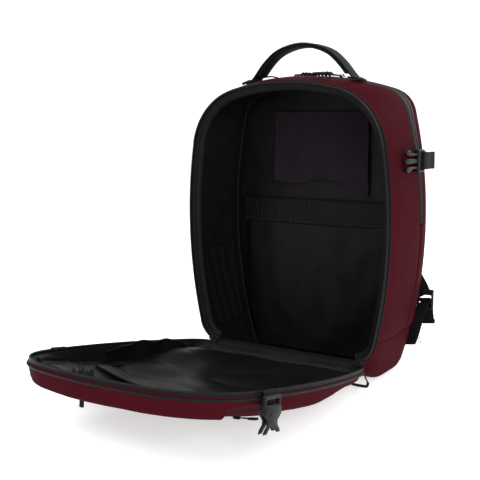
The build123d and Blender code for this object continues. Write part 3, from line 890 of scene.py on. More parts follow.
def make_front_lining():
    """Black lining in the open front panel, wrinkled, with a loose raised fold."""
    def place(u, v):
        s = 9.0 * u
        x, z, depth, nx, nz = panel_point(s, v, WALL + 0.0006, 0.0)
        height = z - HINGE.z
        inner = step(0.16, 0.40, v)
        fold = 0.0065 * abs(ripple((x * 1.2, height * 2.4, 0), 8.0, 31.0))**0.8 * inner
        fold += 0.0030 * ripple((x, height, 0), 19.0, 33.0) * inner
        fold += 0.0016 * abs(ripple((x, height, depth), 42.0, 34.0)) * step(0.02, 0.12, v)
        lift = 0.004 * inner
        point = Vector((x, HINGE.y - depth + fold + lift + 0.0008, z))
        moved = opened(point)
        moved.z = max(moved.z, 0.0035)
        return moved
    obj = grid("front_panel_lining", 420, 110, place, LINING, loop=True)
    thicken(obj, 0.0006, 1.0)
    finish_piece(finalise(obj), "front_panel", "lining_fabric", "door_lining")


def tray_point(x, v, rise):
    """Point over the inside of the front panel, closed, raised off its lining."""
    depth = soft_max(dome_depth(x, v), DOOR_RIM, 0.010) - WALL - 0.0016
    fold = 0.0065 * abs(ripple((x * 1.2, v * 2.4, 0), 8.0, 31.0))**0.8
    fold += 0.0030 * ripple((x, v, 0), 19.0, 33.0)
    return Vector((x, HINGE.y - depth + fold + 0.004 + rise, HINGE.z + v))


def make_front_pocket():
    """Slip pocket inside the front panel, its mouth bound and slightly gaping."""
    low_v, high_v, half = 0.034, 0.246, 0.140
    def place(u, v):
        x = (2 * u - 1) * half
        height = low_v + (high_v - low_v) * v
        height += 0.006 * sin(x * 20.0) * v
        edge = min(u, 1 - u, v * 1.2 + 0.0)
        gape = 0.0025 * v**3 * sin(pi * u)
        puff = 0.0012 + (0.0020 + 0.0030 * ripple((x, height, 0), 17.0, 41.0)) * step(0.0, 0.12, edge)
        moved = opened(tray_point(x, height, puff + gape))
        return moved
    cloth = thicken(grid("front_pocket_cloth", 150, 110, place, LINING), 0.0008)
    hem = tube("hem", [place(i / 12, 1.0) + Vector((0, 0, 0.0006)) for i in range(13)], 0.0016, ZIP_TAPE)
    band = tube("seam", [place(i / 12, 0.90) + Vector((0, 0, 0.0006)) for i in range(13)], 0.0007, THREAD)
    sides = [tube("side", [place(u, i / 8) + Vector((0, 0, 0.0004)) for i in range(9)], 0.0011, ZIP_TAPE)
             for u in (0.0, 1.0)]
    joined = join("front_pocket", [finalise(cloth), hem, band] + sides)
    finish_piece(joined, "front_panel", "lining_fabric", "door_inner_pocket")


def make_front_flap():
    """Loose wing of lining that stands up along the left edge."""
    def place(u, v):
        height = 0.040 + 0.165 * u
        x0, _, _, _ = outline(8.0 - edge_at_height(HINGE.z + height, 0.0), 0.0, 0.010)
        tall = 0.017 * step(0.0, 0.16, u) * (1.0 - 0.55 * step(0.55, 1.0, u))
        lean = 0.006 * v * v + 0.0030 * sin(u * 17.0) * v
        wave = 0.0020 * sin(u * 23.0 + 1.0) * v
        point = Vector((x0 + lean, HINGE.y - 2 * TAPE - 0.008 + (0.008 + tall) * v + wave,
                        HINGE.z + height))
        return opened(point)
    obj = thicken(grid("front_flap_cloth", 90, 14, place, LINING), 0.0011, 0.0)
    hem = tube("flap_hem", [place(i / 14, 1.0) for i in range(15)], 0.0011, ZIP_TAPE)
    joined = join("front_flap", [finalise(obj), hem])
    finish_piece(joined, "front_panel", "lining_fabric", "door_flap")


def make_pull_tip():
    """Small rag of lining that sticks up at the tip of the front panel."""
    def place(u, v):
        x0 = -0.028 + 0.036 * u
        _, z0, _, _ = outline(4.0 - x0 / 0.12, 0.0, 0.003)
        tall = (0.007 + 0.008 * abs(ripple((u * 3, 0, 0), 3.0, 51.0)) * 2) * v
        point = Vector((x0 + 0.003 * v * sin(u * 11), HINGE.y - TAPE - 0.001 + tall, z0 - 0.004 * v))
        return opened(point)
    obj = thicken(grid("tip_tab", 24, 8, place, LINING), 0.0012, 0.0)
    finish_piece(finalise(obj), "front_panel", "lining_fabric")


def make_pocket_zips():
    """Pocket zips across the outside of the front panel."""
    for name in ("upper", "lower"):
        low, high = ZIP_LINES[name]
        v0 = ZIP_V[name]
        def frame_at(u, low=low, high=high, v0=v0, rise=0.0):
            x = low.x + (high.x - low.x) * u
            depth = dome_depth(x, v0) + rise
            point = opened(Vector((x, HINGE.y - depth, HINGE.z + v0)))
            point.z = max(point.z, GROUND + 0.0006)
            turn = Matrix.Rotation(SWING, 3, "X")
            out = turn @ Vector((x / DOME_R, -1, -(v0 - DOME_V) / DOME_R * -1.0)).normalized()
            return point, turn @ Vector((0, 0, 1)), out
        profile = [(-0.0085, -0.0010), (-0.0070, 0.0009), (-0.0034, 0.0013), (-0.0026, 0.0002),
                   (-0.0016, -0.0006), (0.0016, -0.0006), (0.0026, 0.0002), (0.0034, 0.0013),
                   (0.0070, 0.0009), (0.0085, -0.0010)]
        welt = sweep("welt", 130, frame_at, profile, BURGUNDY)
        coil = zip_teeth("coil", 190, lambda u, f=frame_at: f(u, rise=-0.0004), (0.0008, 0.0034, 0.0008),
                         CHAIN)
        joined = join(f"pocket_zip_{name}_welt", [welt, coil])
        finish_piece(joined, "front_panel", "zip_tape", f"pocket_zip_{name}")


# ---- Handle, straps and buckles ---------------------------------------------
def ribbon(name, points, width_dir, width, thickness, material, columns=10, steps=8):
    """Flat webbing that follows a smooth path, with rounded selvedges."""
    curve = bpy.data.curves.new(name, "CURVE")
    curve.dimensions = "3D"
    spline = curve.splines.new("NURBS")
    spline.points.add(len(points) - 1)
    for target, point in zip(spline.points, points):
        target.co = (*point, 1.0)
    spline.order_u = 3
    spline.use_endpoint_u = True
    curve.resolution_u = steps
    line = bpy.data.objects.new(name, curve)
    bpy.context.scene.collection.objects.link(line)
    bpy.context.view_layer.update()
    path = bpy.data.meshes.new_from_object(line.evaluated_get(bpy.context.evaluated_depsgraph_get()))
    spots = [v.co.copy() for v in path.vertices]
    bpy.data.objects.remove(line)
    wide = Vector(width_dir).normalized()
    profile = [(-0.5, 0.3), (-0.42, 0.5), (0.42, 0.5), (0.5, 0.3), (0.5, -0.3), (0.42, -0.5),
               (-0.42, -0.5), (-0.5, -0.3)]
    vertices, faces = [], []
    for i, spot in enumerate(spots):
        ahead = spots[min(i + 1, len(spots) - 1)] - spots[max(i - 1, 0)]
        up = ahead.normalized().cross(wide).normalized()
        for a, b in profile:
            vertices.append(spot + wide * (a * width) + up * (b * thickness))
    ring = len(profile)
    for i in range(len(spots) - 1):
        for j in range(ring):
            a, b = i * ring + j, i * ring + (j + 1) % ring
            faces.append((a, b, b + ring, a + ring))
    faces.append(tuple(range(ring)))
    faces.append(tuple(reversed(range(len(vertices) - ring, len(vertices)))))
    mesh = bpy.data.meshes.new(name)
    mesh.from_pydata(vertices, [], faces)
    mesh.update()
    bm = bmesh.new()
    bm.from_mesh(mesh)
    bmesh.ops.recalc_face_normals(bm, faces=bm.faces)
    bm.to_mesh(mesh)
    bm.free()
    obj = new_object(name, mesh, material)
    return obj


def stitch_box(centre, along, across, out, length, width):
    """Square of bar stitches with a cross, sewn through webbing."""
    along, across, out = (Vector(v).normalized() for v in (along, across, out))
    corners = [(-1, -1), (1, -1), (1, 1), (-1, 1)]
    runs = [(corners[i], corners[(i + 1) % 4]) for i in range(4)] + [(corners[0], corners[2]),
                                                                     (corners[1], corners[3])]
    rows = []
    for start, end in runs:
        def at(u, a=start, b=end):
            p = (a[0] + (b[0] - a[0]) * u, a[1] + (b[1] - a[1]) * u)
            spot = centre + along * (p[0] * length / 2) + across * (p[1] * width / 2)
            run = (along * (b[0] - a[0]) * length + across * (b[1] - a[1]) * width).normalized()
            return spot, out.cross(run), out
        rows.append(zip_teeth("stitch", 8, at, (0.0019, 0.0006, 0.0006), THREAD))
    return rows


def make_handle():
    """Folded webbing grab handle that blends into its sewn feet."""
    low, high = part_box("handle")
    foot_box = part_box("handle_foot_right")
    y = (low.y + high.y) / 2
    width = high.y - low.y
    top = high.z - 0.0016
    x = high.x
    path = []
    for side in (-1, 1):
        leg = [(side * (x + 0.004), y, foot_box[0].z + 0.0080), (side * (x - 0.001), y, foot_box[1].z),
               (side * (x - 0.008), y, foot_box[1].z + 0.008), (side * (x - 0.022), y, top - 0.024),
               (side * (x - 0.046), y, top - 0.006)]
        path.append(leg)
    points = path[0] + [(0, y, top + 0.0035)] + path[1][::-1]
    outer = ribbon("handle_webbing", points, (0, 1, 0), width, 0.0026, WEBBING, steps=12)
    inner_points = [(p[0] * 0.965, p[1], p[2] - 0.0030) for p in points[2:-2]]
    inner = ribbon("handle_lining", inner_points, (0, 1, 0), width * 0.90, 0.0042, WEBBING, steps=12)
    soften(inner, 0.0010, 2)
    stitches = []
    for offset in (-0.44, 0.44):
        line = [Vector(p) + Vector((0, offset * width, 0.0017)) for p in points[2:-2]]
        stitches.append(tube("stitch_line", line, 0.00035, THREAD, sides=1))
    joined = join("grab_handle", [outer, inner] + stitches)
    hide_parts("handle")
    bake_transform(joined)
    for side, label in ((1, "right"), (-1, "left")):
        spot = Vector((side * (x + 0.003), y, foot_box[1].z - 0.0028))
        slope = Vector((side * 0.97, 0, -0.24))
        patch = ribbon("foot", [spot - slope * 0.010 - Vector((0, 0, 0.001)), spot - slope * 0.002,
                                spot + slope * 0.004, spot + slope * 0.009 + Vector((0, 0, -0.0006))],
                       (0, 1, 0), width * 1.04, 0.0030, WEBBING)
        normal = Vector((side * 0.24, 0, 0.97))
        sewn = stitch_box(spot + slope * 0.001 + normal * 0.0018, slope, (0, 1, 0), normal, 0.010, 0.018)
        foot = join(f"handle_foot_{label}_sewn", [patch] + sewn)
        finish_piece(foot, "bag", "webbing", f"handle_foot_{label}")


def mirrored(obj, name):
    """Copy of a piece on the other side of the bag."""
    mesh = obj.data.copy()
    mesh.transform(Matrix.Scale(-1, 4, (1, 0, 0)))
    mesh.flip_normals()
    copy = bpy.data.objects.new(name, mesh)
    bpy.context.scene.collection.objects.link(copy)
    return copy


def pair(obj, base, body, slot_name, *nodes):
    """Finish a right-hand piece and its mirrored twin."""
    twin = mirrored(obj, f"{base}_left")
    obj.name = f"{base}_right"
    for piece, side in ((obj, "right"), (twin, "left")):
        names = [f"{node}_{side}" for node in nodes]
        finish_piece(piece, f"{body}_{side}" if body not in ("bag", "front_panel") else body,
                     slot_name, *names)
    return obj, twin


def frame_plate(name, outer, holes, depth, place, material, bevel=0.0007):
    """Plate with rectangular windows, rounded at its edges."""
    bm = bmesh.new()
    xs = sorted({p for box in [outer] + holes for p in (box[0], box[2])})
    ys = sorted({p for box in [outer] + holes for p in (box[1], box[3])})
    corner = {}
    for i, x in enumerate(xs):
        for j, y in enumerate(ys):
            corner[i, j] = bm.verts.new((x, y, depth / 2))
    def open_cell(cx, cy):
        return any(h[0] < cx < h[2] and h[1] < cy < h[3] for h in holes)
    faces = []
    for i in range(len(xs) - 1):
        for j in range(len(ys) - 1):
            if not open_cell((xs[i] + xs[i + 1]) / 2, (ys[j] + ys[j + 1]) / 2):
                faces.append(bm.faces.new((corner[i, j], corner[i + 1, j], corner[i + 1, j + 1],
                                           corner[i, j + 1])))
    loose = [v for v in bm.verts if not v.link_faces]
    bmesh.ops.delete(bm, geom=loose, context="VERTS")
    pushed = bmesh.ops.extrude_face_region(bm, geom=faces)
    moved = [v for v in pushed["geom"] if isinstance(v, bmesh.types.BMVert)]
    bmesh.ops.translate(bm, verts=moved, vec=(0, 0, -depth))
    bmesh.ops.recalc_face_normals(bm, faces=bm.faces)
    mesh = bpy.data.meshes.new(name)
    bm.to_mesh(mesh)
    bm.free()
    mesh.transform(place)
    return soften(new_object(name, mesh, material), bevel)


def axes_matrix(origin, x_dir, y_dir):
    """Matrix that puts local X and Y along two directions, at an origin."""
    x_dir, y_dir = Vector(x_dir).normalized(), Vector(y_dir).normalized()
    z_dir = x_dir.cross(y_dir)
    matrix = Matrix((x_dir, y_dir, z_dir)).transposed().to_4x4()
    matrix.translation = Vector(origin)
    return matrix


def make_side_plugs():
    """Buckle plugs on their short straps, on the bag's sides."""
    low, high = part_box("buckle_male_right")
    strap_low, strap_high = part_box("side_strap_right")
    z = (low.z + high.z) / 2
    mid_x = (low.x + high.x) / 2
    place = axes_matrix((mid_x - 0.0005, low.y, z), (0, 1, 0), (0, 0, 1))
    length = high.y - low.y
    body = frame_plate("plug_body", (0.038, -0.016, length, 0.016), [(0.044, -0.0128, 0.0505, 0.0128),
                       (0.0530, -0.0128, length - 0.0025, 0.0128)], 0.0082, place, PLASTIC, 0.0012)
    prongs = []
    prong = [(0.0, 0.0118), (0.0045, 0.0152), (0.0115, 0.0158), (0.0150, 0.0128), (0.0240, 0.0108),
             (0.0385, 0.0112), (0.0385, 0.0082), (0.0240, 0.0076), (0.0130, 0.0080), (0.0040, 0.0090)]
    for sign in (1, -1):
        points = [(a, sign * b) for a, b in prong]
        prongs.append(solid("prong", points, 0.0052, place, PLASTIC, 0.0010))
    guide = [(-0.001, -0.0018), (0.002, -0.0034), (0.0385, -0.0030), (0.0385, 0.0030), (0.002, 0.0034),
             (-0.001, 0.0018)]
    prongs.append(solid("guide", guide, 0.0048, place, PLASTIC, 0.0009))
    plug = join("plug", [body] + prongs)
    far_y = high.y
    path = [(strap_low.x + 0.0012, strap_high.y + 0.002, z), (strap_low.x + 0.002, strap_high.y - 0.003, z),
            (strap_high.x - 0.004, strap_high.y - 0.010, z), (mid_x - 0.001, far_y + 0.004, z),
            (mid_x + 0.0008, far_y - 0.003, z), (mid_x + 0.0050, far_y - 0.009, z)]
    web = ribbon("plug_strap", path, (0, 0, 1), 0.0250, 0.0018, WEBBING_Z)
    back_path = [(mid_x + 0.0050, far_y - 0.009, z), (mid_x + 0.0066, far_y - 0.004, z),
                 (mid_x + 0.0064, far_y + 0.006, z), (mid_x + 0.0050, far_y + 0.016, z),
                 (mid_x + 0.0066, far_y + 0.026, z)]
    tail = ribbon("plug_tail", back_path, (0, 0, 1), 0.0250, 0.0018, WEBBING_Z)
    strap = join("strap_web", [web, tail])
    pair(plug, "side_plug", "buckle_plug", "buckle_plastic", "buckle_male")
    pair(strap, "side_plug_strap", "buckle_plug", "webbing", "side_strap")


def make_sockets():
    """Buckle sockets that hang from webbing loops on the front panel."""
    tab_low, tab_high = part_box("buckle_tab_right")
    joint = JOINTS["buckle_socket_right_swing"]["pos_m"]
    centre = Vector(joint)
    turn = Matrix.Rotation(SWING, 3, "X")
    down, along = turn @ Vector((0, -1, 0)), turn @ Vector((0, 0, 1))
    place = axes_matrix(centre + Vector((0.0012, 0, 0)), down, along)
    left = [(0.0130, 0.0140), (0.0165, 0.0164), (0.0235, 0.0160), (0.0300, 0.0098), (0.0345, 0.0100),
            (0.0400, 0.0150), (0.0440, 0.0168), (0.0440, 0.0105), (0.0395, 0.0070), (0.0330, 0.0)]
    shape = left + [(a, -b) for a, b in left[:-1]][::-1]
    plate_out = solid("socket_face", shape, 0.0024, place @ Matrix.Translation((0, 0, 0.0034)), PLASTIC,
                      0.0008)
    plate_in = solid("socket_back", shape, 0.0024, place @ Matrix.Translation((0, 0, -0.0030)), PLASTIC,
                     0.0008)
    walls = []
    for sign in (1, -1):
        rail = [(0.0135, sign * 0.0120), (0.0135, sign * 0.0158), (0.0235, sign * 0.0156),
                (0.0235, sign * 0.0120)]
        walls.append(solid("rail", rail, 0.0062, place, PLASTIC, 0.0006))
    bar = frame_plate("socket_bar", (0.001, -0.0160, 0.0165, 0.0160), [(0.0060, -0.0130, 0.0120, 0.0130)],
                      0.0050, place, PLASTIC, 0.0012)
    rib = frame_plate("socket_rib", (0.0215, -0.0060, 0.0238, 0.0060), [], 0.0098, place, PLASTIC, 0.0006)
    socket = join("socket", [plate_out, plate_in, bar, rib] + walls)
    pair(socket, "buckle_socket", "buckle_socket", "buckle_plastic", "buckle_female")
    up = -down
    wall_x = tab_low.x - 0.0002
    spot = Vector((wall_x, centre.y, centre.z))
    path = [spot + up * 0.004, spot + up * 0.001 + Vector((0.0018, 0, 0)),
            spot + Vector((0.0040, 0, 0)) + down * 0.001,
            spot + Vector((0.0052, 0, 0)) + down * 0.0055, spot + Vector((0.0034, 0, 0)) + down * 0.0098,
            spot + Vector((0.0010, 0, 0)) + down * 0.0082, spot + down * 0.0045, spot + down * 0.014]
    web = ribbon("socket_web", path, along, 0.0250, 0.0014, WEBBING)
    sewn = stitch_box(spot + Vector((0.0012, 0, 0)) + down * 0.0128, down, along, (1, 0, 0), 0.004, 0.020)
    tab = join("tab_web", [web] + sewn)
    pair(tab, "buckle_tab_loop", "front_panel", "webbing", "buckle_tab")


# ---- Sliders and pulls ------------------------------------------------------
def make_slider(name, node, body, place):
    """Zip slider: rounded body, bridge and throat, placed by a matrix."""
    low_part = [(-0.0050, -0.0020), (-0.0034, -0.0042), (0.0030, -0.0042), (0.0052, -0.0026),
                (0.0052, 0.0026), (0.0030, 0.0042), (-0.0034, 0.0042), (-0.0050, 0.0020)]
    top = solid("slider_top", low_part, 0.0015, place @ Matrix.Translation((0, 0, 0.0012)), METAL, 0.0005)
    base = solid("slider_base", low_part, 0.0012, place @ Matrix.Translation((0, 0, -0.0014)), METAL,
                 0.0004)
    arch = [(-0.0034, 0.0), (-0.0030, 0.0020), (-0.0010, 0.0028), (0.0016, 0.0028), (0.0034, 0.0018),
            (0.0038, 0.0), (0.0026, 0.0), (0.0020, 0.0012), (0.0008, 0.0018), (-0.0012, 0.0018),
            (-0.0022, 0.0010),
            (-0.0024, 0.0)]
    side = place @ Matrix.Translation((0, 0, 0.0018)) @ Matrix.Rotation(pi / 2, 4, "X")
    bridge = solid("slider_bridge", arch, 0.0020, side, METAL, 0.0004)
    web = solid("slider_web", [(-0.0044, -0.0008), (0.0010, -0.0008), (0.0010, 0.0008), (-0.0044, 0.0008)],
                0.0030, place, METAL, 0.0003)
    slider = join(name, [top, base, bridge, web])
    return finish_piece(slider, body, "slider_metal", node)


def grip(name, path, thick, material=RUBBER):
    """Moulded grip over a cord's end: a fat tube."""
    body = tube(name, path, thick, material, sides=4)
    return body


def make_main_sliders():
    """Main zip's two sliders at the bottom corners, each with a cord loop."""
    low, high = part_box("main_slider_right")
    middle = (low + high) / 2
    turn = radians(25.0)
    out = Vector((sin(turn), 0, -cos(turn)))
    run = Vector((cos(turn), 0, sin(turn)))
    pull_low, pull_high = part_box("main_pull_right")
    top = Vector(JOINTS["main_pull_right_swing"]["pos_m"])
    for side, label in ((1, "right"), (-1, "left")):
        flip = Vector((side, 1, 1))
        spot = Vector([a * b for a, b in zip(middle, flip)])
        place = axes_matrix(spot, [a * b for a, b in zip(run, flip)],
                            (0, side, 0))
        make_slider(f"main_slider_body_{label}", f"main_slider_{label}", f"main_slider_{label}", place)
        y = (pull_low.y + pull_high.y) / 2
        half, foot = (pull_high.x - pull_low.x) / 2, pull_low.z
        def at(x, z, dy=0.0, side=side):
            return Vector((side * (top.x + x), y + dy, top.z + z))
        drop = foot - top.z
        loop = [at(0.0006, 0.0032), at(0.0034, -0.003), at(half * 0.55, drop * 0.45),
                at(half * 0.96, drop * 0.78),
                at(half * 0.80, drop * 0.97), at(0.0, drop * 0.99), at(-half * 0.80, drop * 0.97),
                at(-half * 0.96, drop * 0.78), at(-half * 0.50, drop * 0.45), at(-0.0026, -0.003)]
        cord = tube("cord", loop, 0.0011, CORD, cyclic=True)
        sleeve = grip("grip", [at(half * 0.90, drop * 0.74), at(half * 0.90, drop * 0.93),
                               at(half * 0.50, drop * 0.955),
                               at(0, drop * 0.955), at(-half * 0.50, drop * 0.955),
                               at(-half * 0.90, drop * 0.93),
                               at(-half * 0.90, drop * 0.74)], 0.0021)
        knot = tube("knot", [at(0.0022, -0.0045, 0.001), at(0.0, -0.0062, -0.0016),
                             at(-0.0022, -0.0045, 0.001),
                             at(0, -0.003, 0.0014)], 0.0011, CORD, cyclic=True)
        pull = join(f"main_pull_loop_{label}", [cord, sleeve, knot])
        finish_piece(pull, f"main_pull_{label}", "pull_rubber", f"main_pull_{label}")


def make_laptop_zip():
    """Laptop zip band over the sides and the top, with its chain."""
    def place(u, v):
        s_low = edge_at_height(BAND_END_Z, 0.11)
        s = s_low + (8.0 - 2 * s_low) * u
        z = outline(s, 0.105)[1]
        near, far = band_edge(z, BAND_FRONT), band_edge(z, BAND_REAR)
        depth = near + (far - near) * v
        x, z2, nx, nz = outline(s, depth)
        groove = -0.0009 * crease((v - 0.5) * (far - near), 0.0022) + 0.0012 * step(0.0, 0.25,
                                                                                    min(v, 1 - v))
        return Vector((x, RIM_Y + depth, z2)) + Vector((nx, 0, nz)) * (groove - 0.0006)
    tape = thicken(grid("laptop_zip_tape_cloth", 420, 20, place, ZIP_TAPE), 0.0011)
    def chain_at(u):
        spot = place(u, 0.5)
        s_low = edge_at_height(BAND_END_Z, 0.11)
        s = s_low + (8.0 - 2 * s_low) * u
        _, _, nx, nz = outline(s, 0.105)
        return spot, Vector((0, 1, 0)), Vector((nx, 0, nz))
    coil = zip_teeth("laptop_coil", 520, chain_at, (0.0010, 0.0040, 0.0009), CHAIN)
    joined = join("laptop_zip", [finalise(tape), coil])
    finish_piece(joined, "bag", "zip_tape", "laptop_zip_tape")


def coiled_cord(start, end, turns, radius, thick, lift):
    """Knotted cord: a loose helix between two points."""
    points = []
    count = turns * 6
    for i in range(count + 1):
        t = i / count
        angle = 2 * pi * turns * t
        swell = radius * (0.75 + 0.35 * sin(t * 9.0))
        points.append(start.lerp(end, t) + Vector((0, cos(angle) * swell, lift + sin(angle) * swell)))
    return tube("knots", points, thick, CORD, sides=3)


def make_laptop_pulls():
    """Sliders and cord pulls of the laptop zip, lying on the top of the bag."""
    for label in ("left", "right"):
        low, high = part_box(f"laptop_slider_{label}")
        spot = (low + high) / 2
        lean = -spot.x / CROWN_R
        run = Vector((cos(lean), 0, sin(lean)))
        make_slider(f"laptop_slider_body_{label}", f"laptop_slider_{label}", f"laptop_slider_{label}",
                    axes_matrix(spot, run if label == "right" else -run,
                                (0, 1, 0) if label == "right" else (0, -1, 0)))
    low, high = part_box("laptop_pull_left")
    y = low.y + 0.003
    z = Vector(JOINTS["laptop_pull_left_lift"]["pos_m"]).z
    def left(x, drop=0.0, dy=0.0):
        t = (high.x - x) / (high.x - low.x)
        return Vector((x, y + dy, z + 0.0085 * sin(pi * t**0.7) - 0.0035 * t - drop))
    start = high.x - 0.001
    strands = []
    for shift in (-0.0013, 0.0013):
        strands.append(tube("strand", [Vector((start, y + 0.014, z + 0.0006)),
                                       left(start - 0.004, -0.0010, shift + 0.003),
                                       left(start - 0.016, -0.0008, shift * 1.8),
                                       left(low.x + 0.020, -0.0004, shift),
                                       left(low.x + 0.010, 0, shift * 0.5)], 0.0010, CORD, sides=3))
    tip = grip("tip", [left(low.x + 0.015), left(low.x + 0.009), left(low.x + 0.001)], 0.0023)
    pull = join("laptop_pull_cord_left", strands + [tip])
    finish_piece(pull, "laptop_pull_left", "pull_rubber", "laptop_pull_left")

    low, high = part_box("laptop_pull_right")
    top = Vector(JOINTS["laptop_pull_right_lift"]["pos_m"])
    mid_x = (low.x + high.x) / 2
    def right(x, dy, dz=0.0):
        return Vector((mid_x + x, top.y + dy, top.z + dz + 0.0014))
    reach = low.y - top.y
    loop = [right(0.0, 0.001), right(0.0022, -0.010), right(0.0030, reach * 0.55),
            right(0.0120, reach * 0.80),
            right(0.0125, reach * 0.93), right(0.0, reach * 0.985), right(-0.0125, reach * 0.93),
            right(-0.0120, reach * 0.80), right(-0.0030, reach * 0.55), right(-0.0022, -0.010)]
    cord = tube("cord", loop, 0.0011, CORD, cyclic=True)
    sleeve = grip("grip", [right(0.0122, reach * 0.82), right(0.0120, reach * 0.925),
                           right(0.0055, reach * 0.966),
                           right(-0.0055, reach * 0.966), right(-0.0120, reach * 0.925),
                           right(-0.0122, reach * 0.82)], 0.0020)
    tie = tube("tie", [right(0.0030, reach * 0.50, 0.001), right(0, reach * 0.47, 0.0022),
                       right(-0.0030, reach * 0.50, 0.001),
                       right(0, reach * 0.53, -0.0012)], 0.0010, CORD, cyclic=True)
    pull = join("laptop_pull_cord_right", [cord, sleeve, tie])
    finish_piece(pull, "laptop_pull_right", "pull_rubber", "laptop_pull_right")
    slider_low, slider_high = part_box("laptop_slider_right")
    knot_start = Vector((slider_low.x - 0.018, slider_high.y + 0.0085, slider_high.z + 0.0002))
    knots = [coiled_cord(knot_start, knot_start + Vector((-0.072, 0.001, -0.0010)), 11, 0.0030, 0.0015,
                         0.0020)]
    knots.append(coiled_cord(knot_start + Vector((-0.004, 0.003, 0.001)),
                             knot_start + Vector((-0.060, 0.003, 0.001)), 9, 0.0024, 0.0015, 0.0030))
    bundle = join("cord_knots", knots)
    finish_piece(bundle, "laptop_slider_right", "pull_rubber")


def make_pocket_pulls():
    """Sliders and pulls of the two pocket zips under the front panel."""
    turn = Matrix.Rotation(SWING, 3, "X")
    for name in ("upper", "lower"):
        low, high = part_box(f"pocket_slider_{name}")
        spot = (low + high) / 2
        place = axes_matrix(spot, (1, 0, 0), turn @ Vector((0, 0, 1)))
        flat = place @ Matrix.Scale(0.72, 4, (0, 0, 1)) @ Matrix.Rotation(pi, 4, "X")
        make_slider(f"pocket_slider_body_{name}", f"pocket_slider_{name}", f"pocket_slider_{name}", flat)
        low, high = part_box(f"pocket_pull_{name}")
        middle = (low + high) / 2
        if name == "upper":
            path = [Vector((middle.x, high.y - 0.0035, high.z - 0.0005)),
                    Vector((middle.x, middle.y, middle.z)),
                    Vector((middle.x, low.y + 0.003, low.z + 0.003))]
            wide = Vector((1, 0, 0))
        else:
            path = [Vector((low.x + 0.001, middle.y, (low.z + high.z) / 2 - 0.0015)),
                    middle + Vector((0, 0, -0.0002)),
                    Vector((high.x - 0.002, middle.y, (low.z + high.z) / 2 + 0.0015))]
            wide = turn @ Vector((0, 0, 1))
        strands = [tube("strand", [p + wide * shift for p,
                                   shift in zip(path, (0.0004 * k, 0.0016 * k, 0.0014 * k))],
                        0.0009, CORD, sides=3) for k in (-1, 1)]
        end = path[2]
        start = path[1].lerp(path[2], -0.1)
        tip = ribbon("tip", [start, start.lerp(end, 0.5), end], wide, 0.0066, 0.0030, RUBBER)
        soften(tip, 0.0007, 2)
        pull = join(f"pocket_pull_cord_{name}", strands + [tip])
        finish_piece(pull, f"pocket_pull_{name}", "pull_rubber", f"pocket_pull_{name}")


# ---- Back of the bag --------------------------------------------------------


def inflate(obj, cap, voxel=0.0055):
    """Swell a closed form with a short cloth simulation, each point by at most cap."""
    remesh = obj.modifiers.new("remesh", "REMESH")
    remesh.mode = "VOXEL"
    remesh.voxel_size = voxel
    finalise(obj)
    before = [v.co.copy() for v in obj.data.vertices]
    cloth = obj.modifiers.new("cloth", "CLOTH")
    cloth.settings.use_pressure = True
    cloth.settings.uniform_pressure_force = 4.0
    cloth.settings.effector_weights.gravity = 0.0
    cloth.settings.quality = 4
    scene = bpy.context.scene
    for index in range(1, 21):
        scene.frame_set(index)
    finalise(obj)
    scene.frame_set(1)
    for vertex, old in zip(obj.data.vertices, before):
        shift = vertex.co - old
        if shift.length > cap:
            vertex.co = old + shift * (cap / shift.length)
    smooth = obj.modifiers.new("smooth", "SUBSURF")
    smooth.levels = smooth.render_levels = 1
    finalise(obj)
    for polygon in obj.data.polygons:
        polygon.use_smooth = True
    return obj


def closed_pad(name, outline_points, low_y, high_y, material):
    """Closed pad from a front-view outline, with rounded long edges."""
    bm = bmesh.new()
    rings = ((0.0030, low_y), (0.0, low_y + (high_y - low_y) * 0.35),
             (0.0, low_y + (high_y - low_y) * 0.65),
             (0.0035, high_y))
    middle_x = sum(p[0] for p in outline_points) / len(outline_points)
    loops = []
    for inset, y in rings:
        loop = []
        count = len(outline_points)
        for i, (x, z) in enumerate(outline_points):
            px, pz = outline_points[i - 1]
            nx, nz = outline_points[(i + 1) % count]
            tx, tz = nx - px, nz - pz
            size = hypot(tx, tz)
            loop.append(bm.verts.new((x - inset * tz / size, y, z + inset * tx / size)))
        loops.append(loop)
    for near, far in zip(loops, loops[1:]):
        for i in range(len(near)):
            j = (i + 1) % len(near)
            bm.faces.new((near[i], near[j], far[j], far[i]))
    bm.faces.new(loops[0])
    bm.faces.new(loops[-1][::-1])
    bmesh.ops.recalc_face_normals(bm, faces=bm.faces)
    mesh = bpy.data.meshes.new(name)
    bm.to_mesh(mesh)
    bm.free()
    return new_object(name, mesh, material)


def rounded_rectangle(low, high, radius, steps=6):
    """Anticlockwise outline of a rounded rectangle in X and Z."""
    points = []
    for cx, cz, start in ((high.x - radius, high.z - radius, 0), (low.x + radius, high.z - radius, 1),
                          (low.x + radius, low.z + radius, 2), (high.x - radius, low.z + radius, 3)):
        for i in range(steps + 1):
            angle = (start + i / steps) * pi / 2
            points.append((cx + radius * cos(angle), cz + radius * sin(angle)))
    return points


